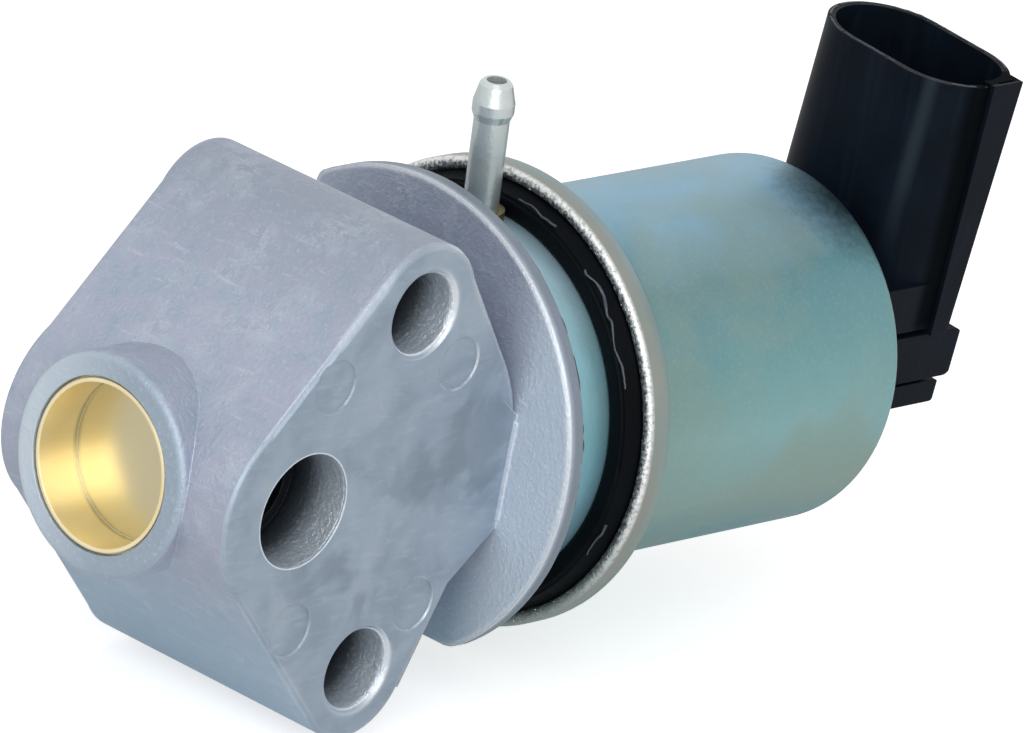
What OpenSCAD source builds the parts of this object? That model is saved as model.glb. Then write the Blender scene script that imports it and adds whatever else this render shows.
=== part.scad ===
// Exhaust gas recirculation valve, solenoid driven, for a small petrol engine.
// Frame: origin midway between the two bolt holes on the flange face that looks along -Y.
// +X runs along the solenoid from the core plug to the plug socket, +Z is up along the vent pipe.

/* [Flange] */
// Distance between the two bolt holes
bolt_pitch = 40; // [38:0.5:48]
// Radius of each bolt hole, a clearance hole for an M8 bolt
bolt_hole_r = 4.5; // [3.3:0.1:5]
// Radius of the lug round each bolt hole
lug_r = 7.8; // [7.4:0.1:9]
// Thickness of the casting between its two gasket faces
flange_t = 33; // [30:0.5:40]
// Radius of the machined mouths of the gas ports
port_r = 6.35; // [5:0.05:6.4]
// Depth of the front gas port's mouth
port_depth = 7.8; // [6:0.1:8]
// Depth of the rear gas port's mouth
rear_port_depth = 6.4; // [5:0.1:6.8]
// Radius of the cored throat behind each mouth
throat_r = 5.2; // [4:0.1:5.3]
// Distance of the front gas port from the bolt line
port_off = 13.4; // [12:0.1:15]
// Distance of the rear gas port from the bolt line, towards the solenoid
rear_port_off = 5.8; // [5:0.1:6.5]
// Radius of the casting round the front gas port
bulge_r = 11.7; // [10:0.1:13]
// Rounding of the block's edges at both gasket faces
block_edge = 0.5; // [0.2:0.1:0.8]
// Radius of the rounded shoulder between the upper lug and the disc
shoulder_r = 21.5; // [21:0.1:23]
// Width of the shallow bevel on that shoulder
shoulder_bevel = 1.8; // [1:0.1:2.5]
// Radius of the ejector pin marks
eject_r = 3; // [2:0.1:3.2]
// Depth of the ejector pin marks
eject_depth = 0.2; // [0.1:0.05:0.4]

/* [Casting barrel] */
// Distance of the solenoid axis from the front gasket face
axis_y = 18; // [16:0.5:20]
// Radius of the round boss that holds the core plug
boss_r = 12; // [11:0.1:13.5]
// How far the boss stands past the bulge round the port
boss_stand = 0.6; // [0.3:0.1:3]
// Distance from the bolt line to the front of the disc
disc_x = 18.1; // [17:0.1:22]
// Radius of the disc
disc_r = 26.3; // [25:0.1:28]
// Thickness of the disc
disc_t = 2.5; // [2:0.1:4]
// Distance of the flat on the disc's lower side from the axis
disc_flat = 21.6; // [21.4:0.1:23]
// How far back from its corner a flat of the disc is eased off
disc_corner = 0.8; // [0.5:0.1:3]

/* [Valve] */
// Outer radius of the brass core plug
plug_r = 9.45; // [9:0.05:10]
// Depth of the cup of the core plug
plug_depth = 5.9; // [4:0.1:7]
// Wall of the core plug
plug_wall = 0.7; // [0.5:0.1:1.2]
// Opening radius of the valve seat
seat_r = 5.2; // [4.5:0.1:5.6]
// Stroke of the valve
stroke = 4; // [2:0.5:5]
// Radius of the valve stem
stem_r = 2.5; // [2:0.1:2.7]
// Running clearance of stem, armature and plunger
run_gap = 0.05; // [0.03:0.01:0.08]
// Gap left between a part that moves and what it meets at either end
rest_gap = 0.25; // [0.15:0.05:0.4]

/* [Base and vent] */
// Radius of the plated steel base
base_r = 20.8; // [20:0.1:22]
// Visible length of the base between the gasket and the rubber ring
base_len = 9.1; // [8:0.1:14]
// Thickness of the gasket between disc and base
gasket_t = 0.5; // [0.3:0.1:1]
// Outer radius of the vent pipe
vent_r = 1.95; // [1.6:0.05:2.2]
// Bore radius of the vent pipe
vent_bore = 1.1; // [0.8:0.05:1.3]
// Height of the vent pipe's end above the axis
vent_top = 36.4; // [30:0.2:45]
// Lean of the vent pipe towards the flange, in degrees
vent_lean = 5; // [0:1:8]

/* [Solenoid] */
// Outer radius of the can
can_r = 20.3; // [20:0.1:22]
// Length of the can behind its lip
can_len = 44.3; // [43:0.1:60]
// Wall of the can
can_wall = 1.2; // [0.8:0.1:1.5]
// Outer radius of the can's lip
lip_r = 25.5; // [24.9:0.1:27]
// Length of the lip
lip_len = 3.6; // [3.2:0.1:4.5]
// Radius of the armature
armature_r = 7.95; // [7:0.05:8.5]
// Length of the armature
armature_len = 16.8; // [12:0.1:18]

/* [Plug socket] */
// Length of the socket's outer shroud across the axis
shroud_l = 22.7; // [20:0.1:26]
// Width of the socket's outer shroud
shroud_w = 14.9; // [13:0.1:16]
// Wall of the shroud
shroud_wall = 0.9; // [0.8:0.1:1.6]
// How far the coding rail stands past the side of the cover
rail_stand = 1; // [0.8:0.1:1.4]
// Height of the shroud's rim above the axis
shroud_top = 33.6; // [30:0.1:40]
// Depth of the socket
socket_depth = 20; // [16:0.5:22]
// Turn of the end cover about the axis, towards -Y, in degrees
cover_clock = 5; // [-20:1:20]
// Pitch of the contact blades
pin_pitch = 3.2; // [2.5:0.1:3.4]

/* [Hidden] */
$fn = 96;
fit = 0.02;          // radial gap of pressed parts
cut = 1;             // how far a cutting body runs past a face

// places along the axis, from the core plug to the plug socket
x_face = -(port_off + bulge_r + boss_stand);
shoulder_x = -2.5;
hair = 0.03;         // how far flat sides lie inside the round ones they meet
overlap = 0.5;       // how far bodies of one casting run into each other
disc_fillet = 0.5;   // fillet between the front gasket face and the disc
boss_edge = 0.8;     // rounded rim of the boss
disc_edge = 0.5;     // rounded rear rim of the disc
hole_edge = 0.5;     // broken edge of the bolt holes
x_seat = -3;
seat_t = 3.5;
x_bush = 12.2;
bush_len = 9.6;
seal_len = 2;
x_disc = disc_x + disc_t;
spigot_r = 10;
spigot_len = 4.2;
x_base = x_disc + gasket_t;
x_ring = x_base + base_len;
ring_len = 3.2;
x_flange = x_ring + ring_len;
flange_plate_t = 1.1;
x_lip = x_ring + 1.8;
x_lip_end = x_lip + lip_len;
x_can_end = x_lip_end + can_len;
x_end_in = x_can_end - can_wall;
flange_plate_r = lip_r - can_wall + 0.05;
x_pole = x_ring - 1;
x_vent = x_ring - 2.5;
pole_r = armature_r + run_gap + 0.6;
x_nose = x_pole + 18;
x_pole_end = x_nose + 4;
stop_t = 0.4;
x_arm = x_pole_end + stop_t + stroke + rest_gap;
x_arm_end = x_arm + armature_len;
sleeve_in = armature_r + run_gap;
x_back = x_end_in - 3.5;
back_t = 2.4;
bobbin_wall = 1.2;
bobbin_cheek = 1.5;
x_bobbin = x_flange + flange_plate_t + 1.6;

// bores of the casting
chamber_r = 8.6;
x_chamber = x_face + plug_depth + plug_wall + 0.4;
seat_out = 7.6;
inlet_r = max(port_r + 0.05, 6.4);
bush_r = 4.2;

// stem and springs
stem_end = x_arm + 7;
return_spring_r = 4.5;
return_wire_r = 0.55;
x_spring = x_pole_end - 7.5;
follower_r = 1.5;
x_follower_end = x_can_end + 16.3;
follower_stop = 10.8;
follower_spring_r = 2.2;
follower_wire_r = 0.28;

vent_seat = 4;

// end cover, in its own turned frame with the axis at the origin
cover_y = 11;
x_shroud = x_can_end + 13.65;
x_cover = x_can_end + 18.2;
x_step = x_can_end + 20.3;
x_lid = x_can_end + 19.4;
step_lo = -2.3;
step_hi = 3.5;
lid_lo = -5.7;
lid_hi = -3;
body_top = 9.8;
groove_len = 14;     // parting groove above the step, from the can's end
groove_t = 0.6;
rail_foot = [0.45, 3.2];    // the rail's two sides at its foot, from the shroud's middle
rail_head = [-0.85, 4.05];  // and at its upper end
rail_over = 0.5;     // how far the rail stands above the shroud's rim
slit_t = 0.35;       // slit between the rail's outer skin and the rim
slit_depth = 4;
chamber_top = 6;
chamber_y = 9.2;
x_chamber_in = x_can_end + 1.7;
x_chamber_out = x_can_end + 17.1;
skirt_t = 2;
board_z = 4.4;
board_t = 0.8;
blade_top = 26;
blade_w = 1.5;
blade_t = 0.6;
spigot_in_r = 3.6;
spigot_in_len = 2.3;
seal_mid_r = 4.6;
seal_wire_r = 0.7;
lead_z = 8.5;
lead_hole_r = 1.2;
x_lead = x_back - 0.6;

cast_grey = [0.60, 0.63, 0.69];
brass = [0.83, 0.68, 0.32];
steel = [0.62, 0.63, 0.62];
zinc_teal = [0.45, 0.62, 0.60];
rubber_black = [0.06, 0.06, 0.07];
plastic_black = [0.08, 0.09, 0.11];
copper = [0.72, 0.42, 0.22];

// Points where a straight line touches two circles: side 1 or -1 picks the line.
function touch(c1, r1, c2, r2, side) =
    let (d = c2 - c1,
         base = atan2(d.y, d.x),
         swing = side * acos((r1 - r2) / norm(d)),
         n = [cos(base + swing), sin(base + swing)])
    [c1 + r1 * n, c2 + r2 * n];

// Turns a profile drawn as [radius, place along the axis] round the solenoid axis.
module turned() {
    translate([0, axis_y, 0]) rotate([0, 90, 0]) rotate_extrude() children();
}

// A rectangle of such a profile, from radius r0 to r1 and from x0 to x1.
module band(r0, r1, x0, x1) {
    translate([r0, x0]) square([r1 - r0, x1 - x0]);
}

// A cylinder along +Y from a face at y, at place [x, z].
module drill_y(at, r, y, len) {
    translate([at.x, y, at.y]) rotate([-90, 0, 0]) cylinder(h = len, r = r);
}

// Raises a flat outline drawn in x and z into a slab from y0 to y1.
module slab_y(y0, y1) {
    translate([0, y1, 0]) rotate([90, 0, 0]) linear_extrude(y1 - y0) children();
}

// Turns what is drawn about the solenoid axis, with the axis at its own origin.
module about_axis(angle) {
    translate([0, axis_y, 0]) rotate([angle, 0, 0]) children();
}

// A round post along Y with rounded rims at both ends.
module post_y(at, r, len, edge) {
    translate([at.x, 0, at.y]) rotate([-90, 0, 0]) rotate_extrude() {
        square([r - edge, len]);
        translate([0, edge]) square([r, len - 2 * edge]);
        translate([r - edge, edge]) circle(edge, $fn = 32);
        translate([r - edge, len - edge]) circle(edge, $fn = 32);
    }
}

// A circle with flats: each cut is [angle, distance, end whose corner is eased].
module flatted_circle(r, cuts, ease) {
    difference() {
        circle(r, $fn = 160);
        for (c = cuts) rotate(c[0]) {
            corner = [c[1], c[2] * sqrt(r * r - c[1] * c[1])];
            turn = acos(c[1] / r) / 3;
            translate([c[1], -r]) square([r, 2 * r]);
            // two short facets share the turn from the flat to the round
            for (k = [1, 2]) translate(corner - [0, c[2] * ease * (3 - k) / 2])
                rotate(c[2] * turn * k) translate([0, -r]) square([r, 2 * r]);
        }
    }
}

// A round wire wound as a spring along +X from x0 to x1, with a closed turn at each end.
module coil_spring(x0, x1, mean_r, wire_r, turns, sides = 8, steps = 14) {
    count = turns * steps;
    rise = x1 - x0 - 2 * wire_r;
    flat = 1.15 * steps;
    // place along the axis: dead turns at both ends, even pitch between
    function place(i) =
        let (dead = 2.1 * wire_r, mid = count - 2 * flat)
        i < flat ? dead * i / flat
        : i > count - flat ? rise - dead * (count - i) / flat
        : dead + (rise - 2 * dead) * (i - flat) / mid;
    function ring(i) =
        let (a = 360 * i / steps, out = [0, cos(a), sin(a)])
        [for (k = [0 : sides - 1])
            let (b = 360 * k / sides)
            [x0 + wire_r + place(i) + wire_r * sin(b), 0, 0] + (mean_r + wire_r * cos(b)) * out];
    points = [for (i = [0 : count]) each ring(i)];
    walls = [for (i = [0 : count - 1], k = [0 : sides - 1])
        let (a = i * sides + k, b = i * sides + (k + 1) % sides)
        [a, b, b + sides, a + sides]];
    start_cap = [for (k = [sides - 1 : -1 : 0]) k];
    end_cap = [for (k = [0 : sides - 1]) count * sides + k];
    polyhedron(points, concat([start_cap], walls, [end_cap]), convexity = 8);
}

// A rectangle with round ends, long along its own second axis.
module stadium(len, wid) {
    translate([-wid / 2, -(len - wid) / 2]) square([wid, len - wid]);
    for (s = [-1, 1]) translate([0, s * (len - wid) / 2]) circle(wid / 2);
}

// A rectangle with rounded corners from [x0, y0] to [x1, y1].
module soft_rect(x0, y0, x1, y1, r) {
    translate([x0 + r, y0]) square([x1 - x0 - 2 * r, y1 - y0]);
    translate([x0, y0 + r]) square([x1 - x0, y1 - y0 - 2 * r]);
    for (x = [x0 + r, x1 - r], y = [y0 + r, y1 - r]) translate([x, y]) circle(r, $fn = 32);
}

// Straight side between two round posts of the block, its long edges bevelled. Its faces lie
// a hair inside the posts, so that the posts' round sides run past them cleanly.
module side_slab(c1, r1, c2, r2, side) {
    edge = touch(c1, r1 - hair, c2, r2 - hair, side);
    run = edge[1] - edge[0];
    difference() {
        slab_y(0, flange_t) polygon([c1, edge[0], edge[1], c2]);
        for (y = [0, flange_t]) translate([edge[0].x, y, edge[0].y])
            rotate([0, -atan2(run.y, run.x), 0]) rotate([45, 0, 0])
            translate([-cut, -block_edge / sqrt(2), -block_edge / sqrt(2)])
            cube([norm(run) + 2 * cut, block_edge * sqrt(2), block_edge * sqrt(2)]);
    }
}

// The casting's block between its two gasket faces.
module block() {
    lug_hi = [0, bolt_pitch / 2];
    lug_lo = [0, -bolt_pitch / 2];
    port = [-port_off, 0];
    mid = [shoulder_x, 0];
    foot = 6.2;
    knee = [disc_x - 6.1, -foot - 5.8];
    rise = sqrt(pow(shoulder_r, 2) - pow(disc_x - shoulder_x, 2)) - 0.3;
    x_in = disc_x + overlap;
    for (at = [lug_hi, lug_lo]) post_y(at, lug_r, flange_t, block_edge);
    post_y(port, bulge_r, flange_t, block_edge);
    side_slab(lug_hi, lug_r, port, bulge_r, -1);
    side_slab(lug_lo, lug_r, port, bulge_r, 1);
    intersection() {
        side_slab(lug_hi, lug_r, mid, shoulder_r, 1);
        translate([0, -cut, 0]) cube([x_in, flange_t + 2 * cut, bolt_pitch]);
    }
    slab_y(0, flange_t) polygon([port, lug_hi, [x_in, rise], [x_in, -foot], knee,
                                 touch(knee, 0, lug_lo, lug_r - hair, 1)[1], lug_lo]);
    // rounded shoulder towards the disc, with its shallow bevel
    intersection() {
        translate([shoulder_x, 0, 0]) rotate([-90, 0, 0]) union() {
            cylinder(h = 0.5, r1 = shoulder_r - shoulder_bevel, r2 = shoulder_r);
            translate([0, 0, 0.5]) cylinder(h = flange_t - 0.5, r = shoulder_r);
        }
        translate([0, -cut, 0]) cube([x_in, flange_t + 2 * cut, shoulder_r]);
    }
    // fillet between the front gasket face and the disc
    translate([0, 0, -foot + 0.4]) linear_extrude(foot + rise - 0.8)
        translate([disc_x - disc_fillet, -disc_fillet]) difference() {
            square(disc_fillet + overlap);
            circle(disc_fillet, $fn = 48);
        }
}

// Everything the casting is made of before its bores are cut.
module casting_body() {
    block();
    // boss for the core plug
    turned() {
        band(0, boss_r - boss_edge, x_face, -port_off);
        band(0, boss_r, x_face + boss_edge, -port_off);
        translate([boss_r - boss_edge, x_face + boss_edge]) circle(boss_edge, $fn = 24);
    }
    // disc that the solenoid is built on, flush with the rear gasket face
    intersection() {
        translate([disc_x, axis_y, 0]) rotate([90, 0, 90]) linear_extrude(disc_t)
            flatted_circle(disc_r, [[0, flange_t - axis_y, 1], [-90, disc_flat, -1]], disc_corner);
        turned() {
            band(0, disc_r + cut, disc_x - cut, x_disc - disc_edge);
            band(0, disc_r - disc_edge, disc_x, x_disc);
            translate([disc_r - disc_edge, x_disc - disc_edge]) circle(disc_edge, $fn = 32);
        }
    }
    // spigot that centres the base
    turned() band(0, spigot_r, x_disc - cut, x_disc + spigot_len);
}

module casting() {
    color(cast_grey) difference() {
        casting_body();
        // bores on the solenoid axis: plug, outlet chamber, seat pocket, inlet chamber, bush
        turned() {
            band(0, plug_r + fit, x_face - cut, x_chamber);
            band(0, chamber_r, x_chamber - cut, x_seat);
            band(0, seat_out + fit, x_seat - cut, x_seat + seat_t);
            band(0, inlet_r, x_seat + seat_t - cut, x_bush);
            band(0, bush_r + fit, x_bush - cut, x_disc + spigot_len + cut);
        }
        // gas ports, each a machined mouth with a narrower throat down to its chamber
        drill_y([-port_off, 0], port_r, -cut, port_depth + cut);
        drill_y([-port_off, 0], throat_r, port_depth - cut, axis_y - port_depth + cut);
        drill_y([rear_port_off, 0], port_r, flange_t - rear_port_depth, rear_port_depth + cut);
        drill_y([rear_port_off, 0], throat_r, axis_y, flange_t - rear_port_depth - axis_y + cut);
        // bolt holes with a broken edge at both faces
        for (s = [-1, 1]) {
            at = [0, s * bolt_pitch / 2];
            drill_y(at, bolt_hole_r, -cut, flange_t + 2 * cut);
            translate([0, 0, at.y]) rotate([-90, 0, 0]) {
                cylinder(h = hole_edge, r1 = bolt_hole_r + hole_edge, r2 = bolt_hole_r);
                translate([0, 0, flange_t - hole_edge])
                    cylinder(h = hole_edge, r1 = bolt_hole_r, r2 = bolt_hole_r + hole_edge);
            }
        }
        // ejector pin marks on the front face
        for (x = [-12, 7], z = [-13.6, 13.6]) drill_y([x, z], eject_r, -cut, cut + eject_depth);
    }
}

module core_plug() {
    color(brass) turned() difference() {
        union() {
            band(0, plug_r, x_face + 0.8, x_face + plug_depth + plug_wall - 0.6);
            band(0, plug_r - 0.6, x_face + 0.2, x_face + plug_depth + plug_wall);
            translate([plug_r - 0.6, x_face + plug_depth + plug_wall - 0.6]) circle(0.6, $fn = 32);
            band(0, plug_r - 0.25, x_face + 0.2, x_face + 1);
        }
        band(-1, plug_r - plug_wall, x_face - cut, x_face + plug_depth);
    }
}

module valve_seat() {
    color(steel) turned() difference() {
        band(seat_r, seat_out, x_seat, x_seat + seat_t);
        polygon([[seat_r - cut, x_seat - cut], [seat_r + 1.2 + cut, x_seat - cut],
                 [seat_r + 1.2, x_seat], [seat_r, x_seat + 1.2], [seat_r - cut, x_seat + 1.2]]);
    }
}

module poppet_valve() {
    head_r = seat_r + 1.1;
    x_cone = x_seat - rest_gap + 0.1;
    color(steel) turned() {
        polygon([[0, x_cone - 2.1], [head_r - 0.5, x_cone - 2.1], [head_r, x_cone - 1.6],
                 [head_r, x_cone], [head_r - 1.5, x_cone + 1.5], [stem_r + 0.9, x_cone + 2.1],
                 [stem_r, x_cone + 3.4], [stem_r, stem_end - 0.4], [stem_r - 0.4, stem_end],
                 [0, stem_end]]);
    }
}

module stem_bush() {
    color([0.55, 0.47, 0.36]) turned()
        band(stem_r + run_gap, bush_r, x_bush, x_bush + bush_len);
}

module stem_seal() {
    color(rubber_black) turned() difference() {
        band(stem_r + run_gap, bush_r, x_bush + bush_len, x_bush + bush_len + seal_len);
        polygon([[stem_r + 0.5, x_bush + bush_len + seal_len + cut],
                 [stem_r + 0.5, x_bush + bush_len + 1], [bush_r - 0.5, x_bush + bush_len + 1],
                 [bush_r - 0.5, x_bush + bush_len + seal_len + cut]]);
    }
}

module base_gasket() {
    color(rubber_black) turned() band(spigot_r + fit, base_r - 0.4, x_disc, x_base);
}

module base_plate() {
    x_well = x_disc + spigot_len + 0.4;
    color(zinc_teal) difference() {
        turned() difference() {
            union() {
                band(0, base_r - 0.4, x_base, x_ring);
                band(0, base_r, x_base + 0.4, x_flange);
                translate([base_r - 0.4, x_base + 0.4]) circle(0.4, $fn = 24);
                band(0, flange_plate_r, x_flange, x_flange + flange_plate_t);
                band(0, can_r - can_wall - 0.2, x_flange, x_bobbin);
            }
            band(-1, spigot_r + fit, x_base - cut, x_well);
            band(-1, spigot_r - 1, x_well - cut, x_pole);
            band(-1, pole_r + fit, x_pole - cut, x_bobbin + cut);
        }
        // drilling for the vent pipe, down into the space round the stem
        at_vent() {
            translate([0, 0, 8 - base_r]) cylinder(h = base_r, r = vent_bore);
            translate([0, 0, -vent_seat]) cylinder(h = vent_seat + cut, r = vent_r + fit);
        }
    }
}

// Stands things on the base's top, on the leaning line of the vent pipe.
module at_vent() {
    translate([x_vent, axis_y, base_r]) rotate([0, -vent_lean, 0]) children();
}

module vent_pipe() {
    top = vent_top - base_r;
    barb = top - 4.4;
    color(steel) at_vent() rotate_extrude() difference() {
        polygon([[0, -vent_seat], [vent_r, -vent_seat], [vent_r, barb], [vent_r + 0.35, barb + 0.9],
                 [vent_r + 0.35, barb + 2], [vent_r - 0.15, top - 0.4], [vent_r - 0.5, top], [0, top]]);
        translate([-1, -vent_seat - cut]) square([1 + vent_bore, vent_top]);
    }
}

module vent_collar() {
    color([0.72, 0.62, 0.38]) difference() {
        at_vent() difference() {
            translate([0, 0, -1]) cylinder(h = 2, r = vent_r + 0.7);
            translate([0, 0, -1 - cut]) cylinder(h = 4, r = vent_r + fit);
        }
        // its foot follows the base's round side
        translate([x_vent - 5, axis_y, 0]) rotate([0, 90, 0]) cylinder(h = 10, r = base_r, $fn = 160);
    }
}

module rubber_ring() {
    mid = (base_r + flange_plate_r) / 2;
    color(rubber_black) turned() difference() {
        polygon([[base_r + fit, x_ring + 0.5], [base_r + 0.5, x_ring + 0.1], [mid, x_ring + 0.05],
                 [mid + 0.6, x_ring + 0.3], [flange_plate_r - 0.7, x_lip - 0.4],
                 [flange_plate_r - 0.4, x_lip + 0.2], [flange_plate_r - 0.4, x_flange],
                 [base_r + fit, x_flange]]);
        // moulded groove round its face
        translate([mid + 0.5, x_ring + 0.05]) circle(0.3, $fn = 24);
    }
}

module solenoid_can() {
    edge = 1.6;
    root = 1.3;
    color(zinc_teal) difference() {
        turned() difference() {
            union() {
                band(0, lip_r - 0.7, x_lip + 0.7, x_lip_end);
                band(0, lip_r, x_lip + 0.7, x_lip_end - 0.7);
                translate([lip_r - 0.75, x_lip + 0.75]) circle(0.75, $fn = 32);
                translate([lip_r - 0.7, x_lip_end - 0.7]) circle(0.7, $fn = 32);
                band(0, can_r, x_lip_end - 1, x_can_end - edge);
                band(0, can_r - edge, x_can_end - edge - 1, x_can_end);
                translate([can_r - edge, x_can_end - edge]) circle(edge, $fn = 64);
                difference() {
                    band(0, can_r + root, x_lip_end - 0.5, x_lip_end + root);
                    translate([can_r + root, x_lip_end + root]) circle(root, $fn = 48);
                }
            }
            band(-1, flange_plate_r + fit, x_lip + 0.75, x_flange + flange_plate_t);
            band(-1, lip_r - 1.5, x_lip - cut, x_lip + 0.8);
            band(-1, can_r - can_wall, x_flange, x_end_in - 1.2);
            band(-1, can_r - can_wall - 1.2, x_end_in - 2, x_end_in);
            translate([can_r - can_wall - 1.2, x_end_in - 1.2]) circle(1.2, $fn = 48);
            band(-1, spigot_in_r + fit, x_end_in - cut, x_can_end + cut);
        }
        lead_holes(x_end_in - cut, can_wall + 2 * cut);
    }
}

// The pair of holes that the coil's leads pass through.
module lead_holes(x, len) {
    about_axis(cover_clock) for (s = [-2, 2])
        translate([x, s * pin_pitch, lead_z]) rotate([0, 90, 0]) cylinder(h = len, r = lead_hole_r, $fn = 32);
}

module pole_piece() {
    color(steel) turned() difference() {
        union() {
            band(0, pole_r, x_pole, x_nose);
            band(0, sleeve_in - fit, x_nose, x_pole_end);
        }
        band(-1, stem_r + 0.7, x_pole - cut, x_pole_end + cut);
        band(-1, return_spring_r + return_wire_r + 0.5, x_spring, x_pole_end + cut);
    }
}

module stop_washer() {
    color(brass) turned()
        band(return_spring_r + return_wire_r + 0.5, sleeve_in - 0.1, x_pole_end, x_pole_end + stop_t);
}

module guide_sleeve() {
    color(steel) turned() band(sleeve_in, pole_r, x_nose + fit, x_end_in - 0.3);
}

module armature() {
    color(steel) difference() {
        turned() difference() {
            union() {
                band(0, armature_r - 0.5, x_arm, x_arm_end);
                band(0, armature_r, x_arm + 0.5, x_arm_end - 0.5);
                translate([armature_r - 0.5, x_arm + 0.5]) circle(0.5, $fn = 24);
                translate([armature_r - 0.5, x_arm_end - 0.5]) circle(0.5, $fn = 24);
            }
            band(-1, stem_r + fit, x_arm - cut, stem_end + 0.1);
        }
        // holes that let air past as it slides
        for (s = [-1, 1]) translate([x_arm - cut, axis_y + s * 6, 0]) rotate([0, 90, 0])
            cylinder(h = armature_len + 2 * cut, r = 1, $fn = 32);
    }
}

module return_spring() {
    color(steel) translate([0, axis_y, 0])
        coil_spring(x_spring, x_arm, return_spring_r, return_wire_r, 7);
}

module bobbin() {
    bore = pole_r + fit;
    color([0.75, 0.70, 0.60]) difference() {
        turned() {
            band(bore, bore + bobbin_wall, x_bobbin, x_back);
            band(bore, can_r - can_wall - 0.3, x_bobbin, x_bobbin + bobbin_cheek);
            band(bore, can_r - can_wall - 0.3, x_back - bobbin_cheek, x_back);
        }
        lead_holes(x_back - bobbin_cheek - cut, bobbin_cheek + 2 * cut);
    }
}

module coil_winding() {
    bore = pole_r + bobbin_wall + 0.1;
    color(copper) turned() difference() {
        band(bore, can_r - can_wall - 1, x_bobbin + bobbin_cheek + fit, x_back - bobbin_cheek - fit);
        // the wire's last layer runs short of the cheeks
        for (x = [x_bobbin + bobbin_cheek, x_back - bobbin_cheek])
            translate([can_r - can_wall - 1, x]) circle(1, $fn = 24);
    }
}

module back_washer() {
    color(steel) difference() {
        turned() band(pole_r + fit, can_r - can_wall - 0.3, x_back, x_back + back_t);
        lead_holes(x_back - cut, back_t + 2 * cut);
    }
}

module spigot_clip() {
    color(steel) turned() band(spigot_in_r + fit, sleeve_in - 0.6, x_end_in - 0.7, x_end_in);
}

module cover_seal() {
    color(rubber_black) turned() translate([seal_mid_r, x_can_end + seal_wire_r]) circle(seal_wire_r, $fn = 32);
}

// Outline of the socket's shroud in the cover's own frame, seen from its mouth.
module shroud_outline(inset = 0) {
    translate([x_shroud, 0]) stadium(shroud_l - 2 * inset, shroud_w - 2 * inset);
}

// A block on the can's end, rounded by plan_r seen from above and by side_r seen from its side.
module cover_block(x0, y0, x1, y1, z0, z1, plan_r, side_r) {
    intersection() {
        translate([0, 0, z0]) linear_extrude(z1 - z0) soft_rect(x0, y0, x1, y1, plan_r);
        slab_y(y0, y1) soft_rect(x0 - 2 * side_r, z0, x1, z1, side_r);
    }
}

module socket_housing() {
    floor_z = shroud_top - socket_depth;
    rail_y = -cover_y - rail_stand;
    color(plastic_black) about_axis(cover_clock) difference() {
        union() {
            // chamber over the sensor, on the can's end
            cover_block(x_can_end, -cover_y - 0.3, x_cover, cover_y - 0.4, step_lo, body_top, 1, 0.8);
            cover_block(x_can_end, -cover_y - 0.5, x_step, cover_y + 0.2, step_lo, step_hi, 0.5, 1.3);
            translate([0, 0, lid_hi]) linear_extrude(step_lo - lid_hi + cut)
                soft_rect(x_can_end, -cover_y + 0.5, x_cover, cover_y - 0.5, 1.6);
            // skirt against the can, in front of the lid
            translate([0, 0, lid_lo]) linear_extrude(lid_hi - lid_lo + cut)
                soft_rect(x_can_end, -cover_y, x_can_end + skirt_t, cover_y, 0.4);
            // shroud, its foot carried down the back of the step
            translate([0, 0, step_lo]) linear_extrude(shroud_top - step_lo) shroud_outline();
            // coding rail down the shroud's end, a little wider at its upper end
            translate([x_shroud, 0, 0]) slab_y(rail_y, rail_y + 5)
                polygon([[rail_foot[0], step_hi], [rail_foot[1], step_hi],
                         [rail_head[1], shroud_top + rail_over], [rail_head[0], shroud_top + rail_over]]);
            // spigot into the can
            translate([x_can_end - spigot_in_len, 0, 0]) rotate([0, 90, 0])
                cylinder(h = spigot_in_len + cut, r = spigot_in_r);
        }
        // parting groove above the step, along both sides
        translate([0, 0, step_hi]) linear_extrude(groove_t) difference() {
            soft_rect(x_can_end - cut, -cover_y - 2, x_can_end + groove_len, cover_y + 2, 0.5);
            soft_rect(x_can_end - 2, -cover_y + 0.9, x_can_end + groove_len + 2, cover_y - 1, 1);
        }
        // socket
        translate([0, 0, floor_z]) linear_extrude(socket_depth + cut) shroud_outline(shroud_wall);
        // slit that frees the rail's outer skin from the rim
        translate([x_shroud + rail_foot[0], rail_y + 0.4, shroud_top - slit_depth])
            cube([rail_foot[1] - rail_foot[0], slit_t, slit_depth + cut]);
        // sensor chamber, open towards the lid
        translate([0, 0, lid_hi - cut]) linear_extrude(chamber_top - lid_hi + cut)
            soft_rect(x_chamber_in, -chamber_y, x_chamber_out, chamber_y, 1);
        // bore for the follower pin
        translate([x_can_end - spigot_in_len - cut, 0, 0]) rotate([0, 90, 0])
            cylinder(h = spigot_in_len + 4, r = follower_r + run_gap);
        // groove for the seal ring
        translate([x_can_end, 0, 0]) rotate([0, 90, 0]) rotate_extrude()
            translate([seal_mid_r - seal_wire_r, -cut]) square([2 * seal_wire_r, cut + 2 * seal_wire_r]);
        // slots for the contact blades
        for (k = [-1 : 1]) blade(k, board_z + board_t, blade_top);
        for (k = [-2, 2]) coil_blade(k);
    }
}

// One flat contact blade, k places off the middle of the row.
module blade(k, z0, z1) {
    translate([x_shroud - blade_t / 2, k * pin_pitch - blade_w / 2, z0]) cube([blade_t, blade_w, z1 - z0]);
}

// A blade with a lead that runs forward to the coil.
module coil_blade(k) {
    blade(k, lead_z - 0.4, blade_top);
    translate([x_lead, k * pin_pitch - 0.5, lead_z - 0.4]) cube([x_shroud - x_lead, 1, 0.8]);
}

module cover_lid() {
    color(plastic_black) about_axis(cover_clock)
        cover_block(x_can_end + skirt_t, -cover_y, x_lid, cover_y, lid_lo, lid_hi, 0.5, 0.9);
}

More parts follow.
